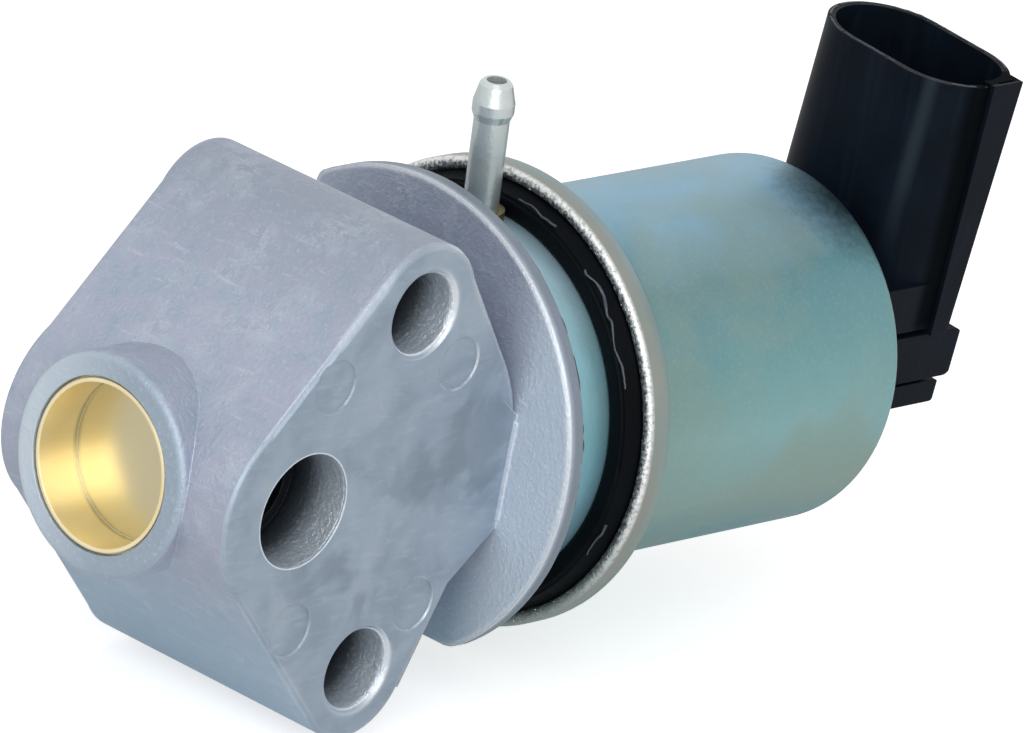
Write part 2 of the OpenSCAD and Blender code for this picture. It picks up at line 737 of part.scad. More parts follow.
module follower_pin() {
    color(steel) about_axis(cover_clock) rotate([0, 90, 0]) rotate_extrude() {
        translate([0, x_arm_end]) square([follower_r, x_follower_end - x_arm_end]);
        translate([0, x_can_end + follower_stop]) square([follower_r + 1.2, 0.8]);
    }
}

module follower_spring() {
    color(steel) about_axis(cover_clock)
        coil_spring(x_can_end + follower_stop + 0.8, x_chamber_out, follower_spring_r,
                    follower_wire_r, 6, 6, 12);
}

module wiper_carrier() {
    x0 = x_can_end + follower_stop - 3.4;
    color([0.80, 0.78, 0.70]) about_axis(cover_clock) difference() {
        union() {
            translate([x0, -3.2, -2.2]) cube([3.4, 6.4, 4.4]);
            // sprung fingers that touch the track
            for (y = [-2.4, 1.6]) translate([x0 + 0.6, y, 2]) cube([2.2, 0.8, board_z - 2 - rest_gap]);
        }
        translate([x0 - cut, 0, 0]) rotate([0, 90, 0]) cylinder(h = 3.4 + 2 * cut, r = follower_r);
    }
}

module sensor_board() {
    color([0.85, 0.86, 0.84]) about_axis(cover_clock) translate([0, 0, board_z]) linear_extrude(board_t)
        soft_rect(x_chamber_in + 1, -chamber_y + fit, x_chamber_out - fit, chamber_y - fit, 1);
}

module sensor_blades() {
    color(steel) about_axis(cover_clock) for (k = [-1 : 1]) blade(k, board_z + board_t, blade_top);
}

module coil_blades() {
    color(steel) about_axis(cover_clock) for (k = [-2, 2]) coil_blade(k);
}

casting();
core_plug();
valve_seat();
poppet_valve();
stem_bush();
stem_seal();
base_gasket();
base_plate();
vent_pipe();
vent_collar();
rubber_ring();
solenoid_can();
pole_piece();
stop_washer();
guide_sleeve();
armature();
return_spring();
bobbin();
coil_winding();
back_washer();
spigot_clip();
cover_seal();
socket_housing();
cover_lid();
follower_pin();
follower_spring();
wiper_carrier();
sensor_board();
sensor_blades();
coil_blades();
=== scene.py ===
# %% [markdown]
# # An exhaust gas recirculation valve
# The valve is an assembly: a die cast body, a plated steel solenoid can, a black plastic end
# cover with the plug socket, a brass core plug and a zinc plated vent pipe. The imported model
# already holds every piece at its true size, so this lesson is about finish: which material
# each piece has, and the small things that a die, a press and a mould leave on them.

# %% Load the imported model
import math

import bpy
from mathutils import Matrix, Vector


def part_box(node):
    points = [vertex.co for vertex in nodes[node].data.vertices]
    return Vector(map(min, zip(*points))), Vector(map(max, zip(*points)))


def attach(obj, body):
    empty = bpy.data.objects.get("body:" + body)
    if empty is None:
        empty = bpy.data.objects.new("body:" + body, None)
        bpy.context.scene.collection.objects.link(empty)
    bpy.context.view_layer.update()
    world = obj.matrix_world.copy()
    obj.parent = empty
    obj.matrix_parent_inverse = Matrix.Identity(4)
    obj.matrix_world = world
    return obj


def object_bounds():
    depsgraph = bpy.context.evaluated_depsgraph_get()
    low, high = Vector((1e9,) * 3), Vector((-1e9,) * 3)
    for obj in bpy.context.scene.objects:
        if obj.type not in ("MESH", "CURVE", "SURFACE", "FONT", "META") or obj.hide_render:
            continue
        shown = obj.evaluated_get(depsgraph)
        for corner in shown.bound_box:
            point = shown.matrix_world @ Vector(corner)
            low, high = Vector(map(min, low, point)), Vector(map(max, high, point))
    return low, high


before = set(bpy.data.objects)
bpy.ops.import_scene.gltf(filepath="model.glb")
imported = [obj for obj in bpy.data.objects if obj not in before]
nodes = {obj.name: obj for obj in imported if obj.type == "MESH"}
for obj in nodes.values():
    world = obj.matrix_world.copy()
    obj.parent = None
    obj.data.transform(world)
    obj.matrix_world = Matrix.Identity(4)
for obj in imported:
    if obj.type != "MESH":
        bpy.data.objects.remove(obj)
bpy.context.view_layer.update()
print("pieces loaded:", len(nodes))

# %% [markdown]
# ## Units, colours and one node helper
# Blender works in metres and in linear light. Sizes below are written in millimetres and
# colours as the hex values that a colour picker gives, so a factor and two tiny functions
# turn them over. A third function adds a node with its settings and links and hands back one
# of its outputs, so that a material reads from top to bottom like a recipe.

# %% Helpers
MM = 0.001
# a Mix node's settings for colours: its sockets 6 and 7 are the colours, 2 is the result
COLOUR = {"data_type": "RGBA", "out": 2}


def linear(hex_colour):
    """An sRGB hex colour such as '#8fa3b0' as linear RGBA, by the curve of the standard."""
    parts = [int(hex_colour[i:i + 2], 16) / 255 for i in (1, 3, 5)]
    return [p / 12.92 if p <= 0.04045 else ((p + 0.055) / 1.055) ** 2.4 for p in parts] + [1.0]


def per_grain(size_mm):
    """The Scale of a noise whose grains are about size_mm across."""
    return 1.0 / (size_mm * MM)


def add(tree, kind, links=None, out=0, stops=None, **settings):
    """Adds a node and returns its output out. kind is Blender's name for the node, where the
    word ShaderNode goes without saying. links maps an input to a socket, a value or a hex
    colour, stops are a colour ramp's (position, colour) pairs, and settings are properties."""
    node = tree.nodes.new(kind if "Node" in kind else "ShaderNode" + kind)
    for name, value in settings.items():
        setattr(node, name, value)
    for key, value in (links or {}).items():
        if isinstance(value, bpy.types.NodeSocket):
            tree.links.new(value, node.inputs[key])
        else:
            node.inputs[key].default_value = linear(value) if isinstance(value, str) else value
    if stops:
        ramp = node.color_ramp.elements
        for position, _ in stops[2:]:
            ramp.new(position)
        for element, (position, colour) in zip(ramp, stops):
            element.position = position
            element.color = linear(colour)
    return node.outputs[out] if len(node.outputs) else node


def begin(name):
    """An empty material, its node tree and Object coordinates, which are metres in the frame."""
    material = bpy.data.materials.new(name)
    material.use_nodes = True
    tree = material.node_tree
    tree.nodes.clear()
    return material, tree, add(tree, "TexCoord", out="Object")


def dress(material, *names):
    """Gives CAD nodes a material."""
    for name in names:
        for slot in nodes[name].material_slots:
            slot.material = material
    print(material.name, "->", ", ".join(names))


# %% [markdown]
# ## Places that the finishes need
# A stain, a rubbed edge or a dark bore belongs to a place on the valve. All objects sit at the
# origin, so a place in millimetres of the frame is the same number in every material: X runs
# along the solenoid, Z up along the vent pipe, and the front gasket face is the plane Y = 0.

# %% Places in millimetres
AXIS_Y = 18.0
BOSS_FACE_X = -25.7
DISC_X, DISC_BACK_X = 18.1, 20.6
LIP_X, LIP_R, LIP_END_X, LIP_ROUND = 32.0, 25.5, 35.6, 0.75
CAN_R = 20.3
# X, Z and radius of the bores in the gasket face
PORT = (-13.4, 0.0, 6.45)
BOLT_HOLES = ((0.0, 20.0, 4.6), (0.0, -20.0, 4.6))
low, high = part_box("solenoid_can")
print("can runs from", round(low[0] / MM, 2), "to", round(high[0] / MM, 2), "mm")

# %% [markdown]
# ## Die cast aluminium
# The body is aluminium, die cast and lightly blasted. To the eye it is a matt grey that turns
# lilac where the skin is thick and blue where it is thin. The sides carry pale scratches where
# the casting was drawn out of the die along Y, and fine crackle where the die's skin had
# cracked. The gasket face is smoother and bluer, with stains of the coolant that ran off it.
# One material does it all: masks made from the place on the body choose between the skins.

# %% Cast skin: colours and marks of the sides
cast, tree, place = begin("die_cast_aluminium")
at = add(tree, "SeparateXYZ", {0: place}).node.outputs
cloud = add(tree, "TexNoise", {
    "Vector": place, "Scale": per_grain(5), "Detail": 8.0, "Roughness": 0.72, "Distortion": 0.5})
side = add(tree, "ValToRGB", {"Fac": cloud}, stops=[
    (0.34, "#98a6b8"), (0.45, "#a2adbd"), (0.54, "#a8adbf"), (0.64, "#a5b2c1")])
# the lower lug is painted lighter and bluer, a painted fill light on its underside, and the top of
# the upper lug is painted greyer and darker, a painted shade
for start_z, end_z, amount, colour in ((-6, -20, 0.8, "#a3bccd"), (18, 26, 0.9, "#98a1b0")):
    painted_light_zone = add(tree, "MapRange", {
        "Value": at["Z"], "From Min": start_z * MM, "From Max": end_z * MM, "To Max": amount})
    side = add(tree, "Mix", {0: painted_light_zone, 6: side, 7: colour}, **COLOUR)
# scratches from the die run along Y, so this noise is stretched eight times that way
drawn = add(tree, "Mapping", {"Vector": place, "Scale": (1.0, 0.12, 1.0)})
scratch = add(tree, "TexNoise", {
    "Vector": drawn, "Scale": per_grain(0.8), "Detail": 4.0, "Roughness": 0.7, "Distortion": 0.4})
scratches = add(tree, "MapRange", {
    "Value": scratch, "From Min": 0.59, "From Max": 0.72, "To Max": 0.5})
# crackle follows the line where a noise passes its middle value
crackle = add(tree, "TexNoise", {
    "Vector": place, "Scale": per_grain(1.7), "Detail": 5.0, "Roughness": 0.6, "Distortion": 0.2})
off_line = add(tree, "Math", {0: crackle, 1: 0.5}, operation="SUBTRACT")
off_line = add(tree, "Math", {0: off_line}, operation="ABSOLUTE")
on_line = add(tree, "MapRange", {"Value": off_line, "From Min": 0.028, "From Max": 0.004})
somewhere = add(tree, "TexNoise", {"Vector": place, "Scale": per_grain(6), "Detail": 4.0})
in_places = add(tree, "MapRange", {
    "Value": somewhere, "From Min": 0.45, "From Max": 0.64, "To Max": 0.42})
crackles = add(tree, "Math", {0: on_line, 1: in_places}, operation="MULTIPLY")
veins = add(tree, "Math", {0: scratches, 1: crackles}, operation="MAXIMUM")
# blasting grit, drawn at 0.5 mm because the real 0.1 mm wouldn't show
grit = add(tree, "TexNoise", {
    "Vector": place, "Scale": per_grain(0.5), "Detail": 3.0, "Roughness": 0.7})
sparkle = add(tree, "MapRange", {"Value": grit, "From Min": 0.56, "From Max": 0.80, "To Max": 0.5})
# a thin veil of oxide between the crackles
veil = add(tree, "MapRange", {"Value": crackle, "From Min": 0.48, "From Max": 0.64, "To Max": 0.8})
veil = add(tree, "Math", {0: veil, 1: in_places}, operation="MULTIPLY")
marks = add(tree, "Math", {0: veins, 1: sparkle}, operation="MAXIMUM")
marks = add(tree, "Math", {0: marks, 1: veil}, operation="MAXIMUM")
side = add(tree, "Mix", {0: marks, 6: side, 7: "#ccd4de"}, **COLOUR)
print("side skin nodes:", len(tree.nodes))

# %% Cast skin: the gasket face with its stains
near_face = add(tree, "MapRange", {"Value": at["Y"], "From Min": 0.42 * MM, "From Max": 0.26 * MM})
on_flange = add(tree, "MapRange", {"Value": at["X"], "From Min": 17.9 * MM, "From Max": 17.6 * MM})
is_face = add(tree, "Math", {0: near_face, 1: on_flange}, operation="MULTIPLY")
pool = add(tree, "TexNoise", {
    "Vector": place, "Scale": per_grain(7), "Detail": 3.0, "Roughness": 0.5, "Distortion": 0.6})
face = add(tree, "ValToRGB", {"Fac": pool}, stops=[
    (0.36, "#8f9dac"), (0.50, "#98a6b5"), (0.66, "#a1aebb")])
streaks = add(tree, "Mapping", {"Vector": place, "Scale": (0.25, 1.0, 1.0)})
streak = add(tree, "TexNoise", {
    "Vector": streaks, "Scale": per_grain(0.8), "Detail": 3.0, "Roughness": 0.6})
light_streak = add(tree, "MapRange", {
    "Value": streak, "From Min": 0.52, "From Max": 0.75, "To Max": 0.4})
face = add(tree, "Mix", {0: light_streak, 6: face, 7: "#b2bdc8"}, **COLOUR)
# coolant dried here: right of the port, in a run below it, and by the lower port mark
STAINS = (  # X, Z and reach in mm, and how dark it is
    (12.3, 3.6, 5.5, 0.5), (9.0, 1.0, 5.0, 0.3), (3.1, 1.3, 3.6, 0.35),
    (-6.0, -6.5, 2.0, 0.5), (-4.0, -9.0, 1.8, 0.45), (-2.0, -11.8, 1.8, 0.4),
    (-13.0, -9.2, 2.6, 0.3))
for stain_x, stain_z, reach, weight in STAINS:
    away = add(tree, "VectorMath", {
        0: place, 1: (stain_x * MM, 0.0, stain_z * MM)}, out="Value", operation="DISTANCE")
    # the pool noise adds some 3 to 6 mm to the distance, so the stain's outline is ragged
    ragged = add(tree, "Math", {0: pool, 1: 9 * MM, 2: away}, operation="MULTIPLY_ADD")
    stain = add(tree, "MapRange", {
        "Value": ragged, "From Min": (reach + 5.2) * MM, "From Max": (reach + 3.2) * MM,
        "To Max": weight}, interpolation_type="SMOOTHSTEP")
    face = add(tree, "Mix", {0: stain, 6: face, 7: "#76838f"}, **COLOUR)
skin = add(tree, "Mix", {0: is_face, 6: side, 7: face}, **COLOUR)
print("with the gasket face:", len(tree.nodes))

# %% [markdown]
# The bores are painted darker with depth, a painted shade for the dim inside of a hole, and pale
# near the mouth with painted glints; their walls are rough from the core pins. The ring face round
# the plug was turned, so it is plain and bluer, and it is painted paler towards its back, a
# painted sheen. The disc's front beside the flange is painted lighter, a painted pool of light.

# %% Cast skin: the bores
# without its depth, a place's distance to a bore's centre is its distance to the axis
across = add(tree, "VectorMath", {0: place, 1: (1.0, 0.0, 1.0)}, operation="MULTIPLY")
in_bore = None
for bore_x, bore_z, bore_r in (PORT,) + BOLT_HOLES:
    away = add(tree, "VectorMath", {
        0: across, 1: (bore_x * MM, 0.0, bore_z * MM)}, out="Value", operation="DISTANCE")
    inside = add(tree, "MapRange", {
        "Value": away, "From Min": (bore_r + 0.1) * MM, "From Max": (bore_r - 0.02) * MM})
    in_bore = inside if in_bore is None else add(
        tree, "Math", {0: in_bore, 1: inside}, operation="MAXIMUM")
depth = add(tree, "MapRange", {"Value": at["Y"], "From Max": 14 * MM})
# deeper in a bore the colour darkens, a painted shade, and near the mouth it is pale, a painted
# highlight
bore_shade = add(tree, "ValToRGB", {"Fac": depth}, stops=[
    (0.0, "#dae5ef"), (0.20, "#cad6e2"), (0.38, "#5d6770"), (0.56, "#1a1e22")])
near_mouth = add(tree, "MapRange", {
    "Value": depth, "From Min": 0.05, "From Max": 0.42, "To Min": 1.0, "To Max": 0.0})
# glint paints bright grains near the mouth: painted glints
glint = add(tree, "MapRange", {"Value": grit, "From Min": 0.50, "From Max": 0.66})
glint = add(tree, "Math", {0: glint, 1: near_mouth}, operation="MULTIPLY")
glinting_bore_shade = add(tree, "Mix", {0: glint, 6: bore_shade, 7: "#f2f6fa"}, **COLOUR)
skin = add(tree, "Mix", {0: in_bore, 6: skin, 7: glinting_bore_shade}, **COLOUR)
print("with the bores:", len(tree.nodes))

# %% Cast skin: the turned ring and the painted light on the disc
on_ring = add(tree, "MapRange", {
    "Value": at["X"], "From Min": (BOSS_FACE_X + 0.5) * MM, "From Max": (BOSS_FACE_X + 0.2) * MM})
# the ring is painted paler towards its back, Y = 28 mm: a painted sheen on the turned face
ring_sheen = add(tree, "MapRange", {"Value": at["Y"], "From Min": 16 * MM, "From Max": 28 * MM})
turned = add(tree, "Mix", {0: ring_sheen, 6: "#9eadbc", 7: "#c5d1dc"}, **COLOUR)
turned = add(tree, "Mix", {0: sparkle, 6: turned, 7: "#dbe3ea"}, **COLOUR)
skin = add(tree, "Mix", {0: on_ring, 6: skin, 7: turned}, **COLOUR)
# the disc's front beside the flange, where Y < 4 mm, is painted lighter with painted glints: a
# painted pool of light, and clear is its colour
lit_disc = add(tree, "MapRange", {"Value": at["Y"], "From Min": 4 * MM, "From Max": -1 * MM})
beyond = add(tree, "Math", {0: at["X"], 1: (DISC_X - 0.1) * MM}, operation="GREATER_THAN")
before = add(tree, "Math", {0: at["X"], 1: (DISC_X + 0.4) * MM}, operation="LESS_THAN")
for limit in (beyond, before):
    lit_disc = add(tree, "Math", {0: lit_disc, 1: limit}, operation="MULTIPLY")
clear = add(tree, "Mix", {0: sparkle, 6: "#cdd9e5", 7: "#f2f6fa"}, **COLOUR)
skin = add(tree, "Mix", {0: lit_disc, 6: skin, 7: clear}, **COLOUR)
print("with the ring and the disc:", len(tree.nodes))

# %% [markdown]
# Handling rubs the edges, and they are painted paler as a painted highlight too. A Bevel node
# rounds the normal there, and where that turns it, the metal is paler and smoother, so that an
# edge catches the lamp as a bright line, partly real wear and partly a painted highlight. The line
# is broken, because the crackle's noise decides where it shows at all.

# %% Cast skin: worn edges with a painted highlight
# how far an edge was worn round wanders from 0.1 to 0.32 mm
uneven = add(tree, "MapRange", {
    "Value": cloud, "From Min": 0.35, "From Max": 0.65, "To Min": 0.10 * MM, "To Max": 0.32 * MM})
# the disc's front rim is rounded more: a millimetre, where it is far from the axis
off_axis = add(tree, "VectorMath", {0: place, 1: (0.0, AXIS_Y * MM, 0.0)}, operation="SUBTRACT")
off_axis = add(tree, "VectorMath", {0: off_axis, 1: (0.0, 1.0, 1.0)}, operation="MULTIPLY")
off_axis = add(tree, "VectorMath", {0: off_axis}, out="Value", operation="LENGTH")
on_rim = add(tree, "MapRange", {"Value": off_axis, "From Min": 24.9 * MM, "From Max": 25.3 * MM})
in_front = add(tree, "MapRange", {
    "Value": at["X"], "From Min": (DISC_X + 1.4) * MM, "From Max": (DISC_X + 1.1) * MM})
on_rim = add(tree, "Math", {0: on_rim, 1: in_front}, operation="MULTIPLY")
reach = add(tree, "Mix", {0: on_rim, 2: uneven, 3: 1.0 * MM})
rounded = add(tree, "Bevel", {"Radius": reach}, samples=6)
flat = add(tree, "NewGeometry", out="Normal")
turn = add(tree, "VectorMath", {0: rounded, 1: flat}, out="Value", operation="DOT_PRODUCT")
edge = add(tree, "MapRange", {"Value": turn, "From Min": 0.995, "From Max": 0.93})
worn_and_highlit = add(tree, "MapRange", {"Value": crackle, "From Min": 0.32, "From Max": 0.52})
# the shoulder and the disc's front rim are painted pale most of all, a painted highlight along
# their edges
on_shoulder = add(tree, "MapRange", {
    "Value": at["X"], "From Min": 7 * MM, "From Max": 10 * MM, "To Max": 0.8})
for part in (on_shoulder, on_rim):
    worn_and_highlit = add(tree, "Math", {0: worn_and_highlit, 1: part}, operation="MAXIMUM")
# the edges on the core plug's side are worn and given painted highlight less
wear_and_highlight_share = add(tree, "MapRange", {
    "Value": at["X"], "From Min": -3 * MM, "From Max": 5 * MM, "To Min": 0.4, "To Max": 1.0})
for part in (wear_and_highlight_share, edge):
    worn_and_highlit = add(tree, "Math", {0: worn_and_highlit, 1: part}, operation="MULTIPLY")
print("with rubbed edges:", len(tree.nodes))

# %% Cast skin: the flange's painted front edge highlight, sheltered edges and the darker disc side
# this edge is round in the mesh, so the normal itself says where it is; its pale colour is a
# painted highlight
facing = add(tree, "SeparateXYZ", {0: flat}).node.outputs["Y"]
not_front = add(tree, "MapRange", {"Value": facing, "From Min": -0.97, "From Max": -0.90})
not_side = add(tree, "MapRange", {"Value": facing, "From Min": -0.15, "From Max": -0.35})
toward_disc = add(tree, "MapRange", {"Value": at["X"], "From Min": 1 * MM, "From Max": 4 * MM})
at_face = add(tree, "Math", {0: at["Y"], 1: 0.7 * MM}, operation="LESS_THAN")
front_edge_highlight = add(tree, "Math", {0: not_front, 1: not_side}, operation="MULTIPLY")
for part in (toward_disc, at_face, on_flange):
    front_edge_highlight = add(tree, "Math", {0: front_edge_highlight, 1: part}, operation="MULTIPLY")
worn_and_highlit = add(tree, "Math", {0: worn_and_highlit, 1: front_edge_highlight}, operation="MAXIMUM")
# nothing wears or highlights the edges deep inside a bore, and the ring's edges get less
shallow = add(tree, "MapRange", {"Value": at["Y"], "From Min": 2.2 * MM, "From Max": 0.9 * MM})
bored = add(tree, "Math", {0: 1.0, 1: in_bore}, operation="SUBTRACT")
open_air = add(tree, "Math", {0: shallow, 1: bored}, operation="MAXIMUM")
off_ring = add(tree, "MapRange", {"Value": on_ring, "To Min": 1.0, "To Max": 0.35})
open_air = add(tree, "Math", {0: open_air, 1: off_ring}, operation="MULTIPLY")
worn_and_highlit = add(tree, "Math", {0: worn_and_highlit, 1: open_air}, operation="MULTIPLY")
# the disc's side is made darker and greyer than its front
off_centre = add(tree, "MapRange", {
    "Value": off_axis, "From Min": 25.9 * MM, "From Max": 26.2 * MM})
behind_rim = add(tree, "MapRange", {
    "Value": at["X"], "From Min": (DISC_X + 0.5) * MM, "From Max": (DISC_X + 1.1) * MM,
    "To Max": 0.8})
darker_disc_side = add(tree, "Math", {0: off_centre, 1: behind_rim}, operation="MULTIPLY")
# the pale colour at the edges is partly wear and partly a painted highlight
for mask, colour in ((darker_disc_side, "#76828d"), (worn_and_highlit, "#d5dce3")):
    skin = add(tree, "Mix", {0: mask, 6: skin, 7: colour}, **COLOUR)
print("all colours:", len(tree.nodes))

# %% Cast skin: gloss, bumps and shader
gloss = add(tree, "MapRange", {"Value": worn_and_highlit, "To Min": 0.50, "To Max": 0.24})
gloss = add(tree, "Mix", {0: in_bore, 2: gloss, 3: 0.34})
raised = add(tree, "MapRange", {"Value": is_face, "To Min": 1.0, "To Max": 0.3})
raised = add(tree, "Math", {0: in_bore, 1: 0.5, 2: raised}, operation="MULTIPLY_ADD")
raised = add(tree, "Math", {0: grit, 1: raised}, operation="MULTIPLY")
normal = add(tree, "Bump", {"Height": raised, "Distance": 0.12 * MM, "Normal": rounded})
normal = add(tree, "Bump", {"Height": veins, "Distance": 0.03 * MM, "Normal": normal})
normal = add(tree, "Bump", {"Height": cloud, "Distance": 0.15 * MM, "Normal": normal})
shader = add(tree, "BsdfPrincipled", {
    "Base Color": skin, "Metallic": 0.6, "Roughness": gloss, "Normal": normal})
add(tree, "OutputMaterial", {"Surface": shader})
dress(cast, "casting")

# %% [markdown]
# ## Drawn brass
# The core plug is a cup drawn from sheet brass. Its gold deepens where light bounces twice in
# the cup. Brass reflects red and green strongly and blue weakly, and that is all its colour.
# The punch left the wall satin, with a gloss that wanders a little, and the floor smoother.

# %% Brass
brass, tree, place = begin("drawn_brass")
cloud = add(tree, "TexNoise", {"Vector": place, "Scale": per_grain(6), "Detail": 3.0})
tint = add(tree, "ValToRGB", {"Fac": cloud}, stops=[(0.3, "#f6e3b2"), (0.65, "#fbefca")])
at = add(tree, "SeparateXYZ", {0: place}).node.outputs
# the cup is 5.9 mm deep, and its floor is painted greyer and darker than the wall, a painted dim
# reflection
on_floor = add(tree, "MapRange", {
    "Value": at["X"], "From Min": (BOSS_FACE_X + 5.2) * MM, "From Max": (BOSS_FACE_X + 5.6) * MM})
tint = add(tree, "Mix", {0: on_floor, 6: tint, 7: "#ccc2a0"}, **COLOUR)
gloss = add(tree, "MapRange", {"Value": cloud, "To Min": 0.38, "To Max": 0.48})
gloss = add(tree, "Mix", {0: on_floor, 2: gloss, 3: 0.26})
ripple = add(tree, "TexNoise", {"Vector": place, "Scale": per_grain(4), "Detail": 0.0})
rounded = add(tree, "Bevel", {"Radius": 0.25 * MM}, samples=4)
normal = add(tree, "Bump", {"Height": ripple, "Distance": 0.04 * MM, "Normal": rounded})
shader = add(tree, "BsdfPrincipled", {
    "Base Color": tint, "Metallic": 1.0, "Roughness": gloss, "Normal": normal})
add(tree, "OutputMaterial", {"Surface": shader})
dress(brass, "core_plug", "stop_washer")

# %% [markdown]
# ## Turned, sintered, tinned and brazed metals
# The stem, seat and armature are turned steel, the bush is pressed from bronze powder, the
# blades are tinned, the winding is enamelled copper and a braze fillet holds the vent pipe.
# They differ in colour and gloss, but all have a cloudy tint and a fine tool grain, so one
# function makes each from its two tints, its roughness and the size of its grain.

# %% Small metal parts
def worked_metal(name, dark, light, roughness, grain_mm):
    """A bare metal with a cloudy tint and a fine grain from its tool."""
    material, tree, place = begin(name)
    cloud = add(tree, "TexNoise", {"Vector": place, "Scale": per_grain(3), "Detail": 3.0})
    tint = add(tree, "ValToRGB", {"Fac": cloud}, stops=[(0.3, dark), (0.7, light)])
    gloss = add(tree, "MapRange", {
        "Value": cloud, "To Min": 0.8 * roughness, "To Max": 1.25 * roughness})
    grain = add(tree, "TexNoise", {"Vector": place, "Scale": per_grain(grain_mm), "Detail": 2.0})
    normal = add(tree, "Bump", {"Height": grain, "Distance": 0.012 * MM})
    shader = add(tree, "BsdfPrincipled", {
        "Base Color": tint, "Metallic": 1.0, "Roughness": gloss, "Normal": normal})
    add(tree, "OutputMaterial", {"Surface": shader})
    return material


dress(worked_metal("turned_steel", "#8f9294", "#b4b7b8", 0.30, 0.4),
      "valve_seat", "poppet_valve", "pole_piece", "guide_sleeve", "armature", "return_spring",
      "back_washer", "spigot_clip", "follower_pin", "follower_spring")
dress(worked_metal("sintered_bronze", "#6f5d45", "#8b7758", 0.50, 0.3), "stem_bush")
dress(worked_metal("tinned_contact", "#a9a69c", "#c6c3b8", 0.30, 0.5), "sensor_blades",
      "coil_blades")
dress(worked_metal("enamelled_copper", "#a45a2c", "#c77b45", 0.35, 0.4), "coil_winding")
dress(worked_metal("brazed_brass", "#857a58", "#a89b70", 0.45, 0.5), "vent_collar")

# %% [markdown]
# ## Zinc plate with a thick passivation
# The can and the base are steel, zinc plated and passivated. The passivation is a film whose
# thickness wanders, so the eye sees teal that drifts to blue, olive and beige. Its main drift goes
# with height: a colour ramp over Z, pushed about by a slow noise. The ramp also paints light: it
# turns paler or bluer towards the top, a painted reflection, and on the can darker at the bottom,
# a painted shade. Beige clouds and a fine crystal speckle lie over it.

# %% Passivated zinc
def passivated_zinc(name, height_stops_with_light, cloud_tint, half_height_mm):
    """A plated finish up to its colour: material, tree, coordinates, colour and slow noise."""
    material, tree, place = begin(name)
    at = add(tree, "SeparateXYZ", {0: place}).node.outputs
    slow = add(tree, "TexNoise", {
        "Vector": place, "Scale": per_grain(14), "Detail": 3.0, "Roughness": 0.55,
        "Distortion": 0.4})
    # the noise averages 0.5 and pushes by 0.16 of that, so the height starts 0.08 lower
    height = add(tree, "MapRange", {
        "Value": at["Z"], "From Min": -half_height_mm * MM, "From Max": half_height_mm * MM,
        "To Min": -0.08, "To Max": 0.92})
    drift = add(tree, "Math", {0: slow, 1: 0.16, 2: height}, operation="MULTIPLY_ADD")
    tint = add(tree, "ValToRGB", {"Fac": drift}, stops=height_stops_with_light)
    beige = add(tree, "TexNoise", {
        "Vector": place, "Scale": per_grain(13), "Detail": 3.0, "Roughness": 0.5,
        "Distortion": 0.3})
    beige = add(tree, "MapRange", {
        "Value": beige, "From Min": 0.44, "From Max": 0.66, "To Max": 0.42})
    tint = add(tree, "Mix", {0: beige, 6: tint, 7: cloud_tint}, **COLOUR)
    # zinc crystals are a tenth of this size, drawn at 0.5 mm so that they show
    speckle = add(tree, "TexNoise", {
        "Vector": place, "Scale": per_grain(0.5), "Detail": 3.0, "Roughness": 0.7})
    pale = add(tree, "MapRange", {
        "Value": speckle, "From Min": 0.5, "From Max": 0.8, "To Max": 0.13})
    tint = add(tree, "Mix", {0: pale, 6: tint, 7: "#c2cfd0"}, **COLOUR)
    return material, tree, place, tint, slow


# %% [markdown]
# The can has more to show than the base. Its rolled lip is beige, with a brown line at the root
# where the film pooled. The lip's front edge was sheared after plating, so it is bare and broken
# into bright and dark grains, and a painted highlight lies along it. Next to the socket a dark
# shadow is painted, with a grainy edge.

# %% The can's lip, root and painted shadow
# the can's ramp runs from dark teal at the bottom, painted shade, to blue at the top, a painted
# sky reflection
can, tree, place, tint, slow = passivated_zinc("passivated_zinc_can", [
    (0.06, "#30838f"), (0.28, "#87a49e"), (0.50, "#86b1b3"), (0.68, "#6e9a9d"),
    (0.88, "#5a8891"), (1.0, "#84aec4")], "#8c9b8d", CAN_R)
at = add(tree, "SeparateXYZ", {0: place}).node.outputs
from_axis = add(tree, "VectorMath", {0: place, 1: (0.0, 1.0, 1.0)}, operation="MULTIPLY")
from_axis = add(tree, "VectorMath", {0: from_axis, 1: (0.0, AXIS_Y * MM, 0.0)},
                out="Value", operation="DISTANCE")
on_lip = add(tree, "MapRange", {
    "Value": at["X"], "From Min": (LIP_END_X + 0.6) * MM, "From Max": (LIP_END_X - 1.8) * MM})
lip_tint = add(tree, "ValToRGB", {"Fac": slow}, stops=[
    (0.35, "#88928c"), (0.5, "#93958f"), (0.65, "#8b9995")])
tint = add(tree, "Mix", {0: on_lip, 6: tint, 7: lip_tint}, **COLOUR)
off_root = add(tree, "Math", {0: at["X"], 1: (LIP_END_X + 0.5) * MM}, operation="SUBTRACT")
off_root = add(tree, "Math", {0: off_root}, operation="ABSOLUTE")
root = add(tree, "MapRange", {
    "Value": off_root, "From Min": 1.6 * MM, "From Max": 0.2 * MM, "To Max": 0.6})
tint = add(tree, "Mix", {0: root, 6: tint, 7: "#84847b"}, **COLOUR)
fine_grain = add(tree, "TexNoise", {
    "Vector": place, "Scale": per_grain(0.9), "Detail": 4.0, "Roughness": 0.7})
# the painted shadow lies round a point at the can's end, beside the socket
SOCKET_SHADOW_AT = (80 * MM, 10 * MM, 19 * MM)
away = add(tree, "VectorMath", {0: place, 1: SOCKET_SHADOW_AT}, out="Value", operation="DISTANCE")
away = add(tree, "Math", {0: fine_grain, 1: 6 * MM, 2: away}, operation="MULTIPLY_ADD")
socket_shadow = add(tree, "MapRange", {
    "Value": away, "From Min": 13 * MM, "From Max": 5 * MM, "To Max": 0.95})
tint = add(tree, "Mix", {0: socket_shadow, 6: tint, 7: "#1e3136"}, **COLOUR)
print("can nodes:", len(tree.nodes))

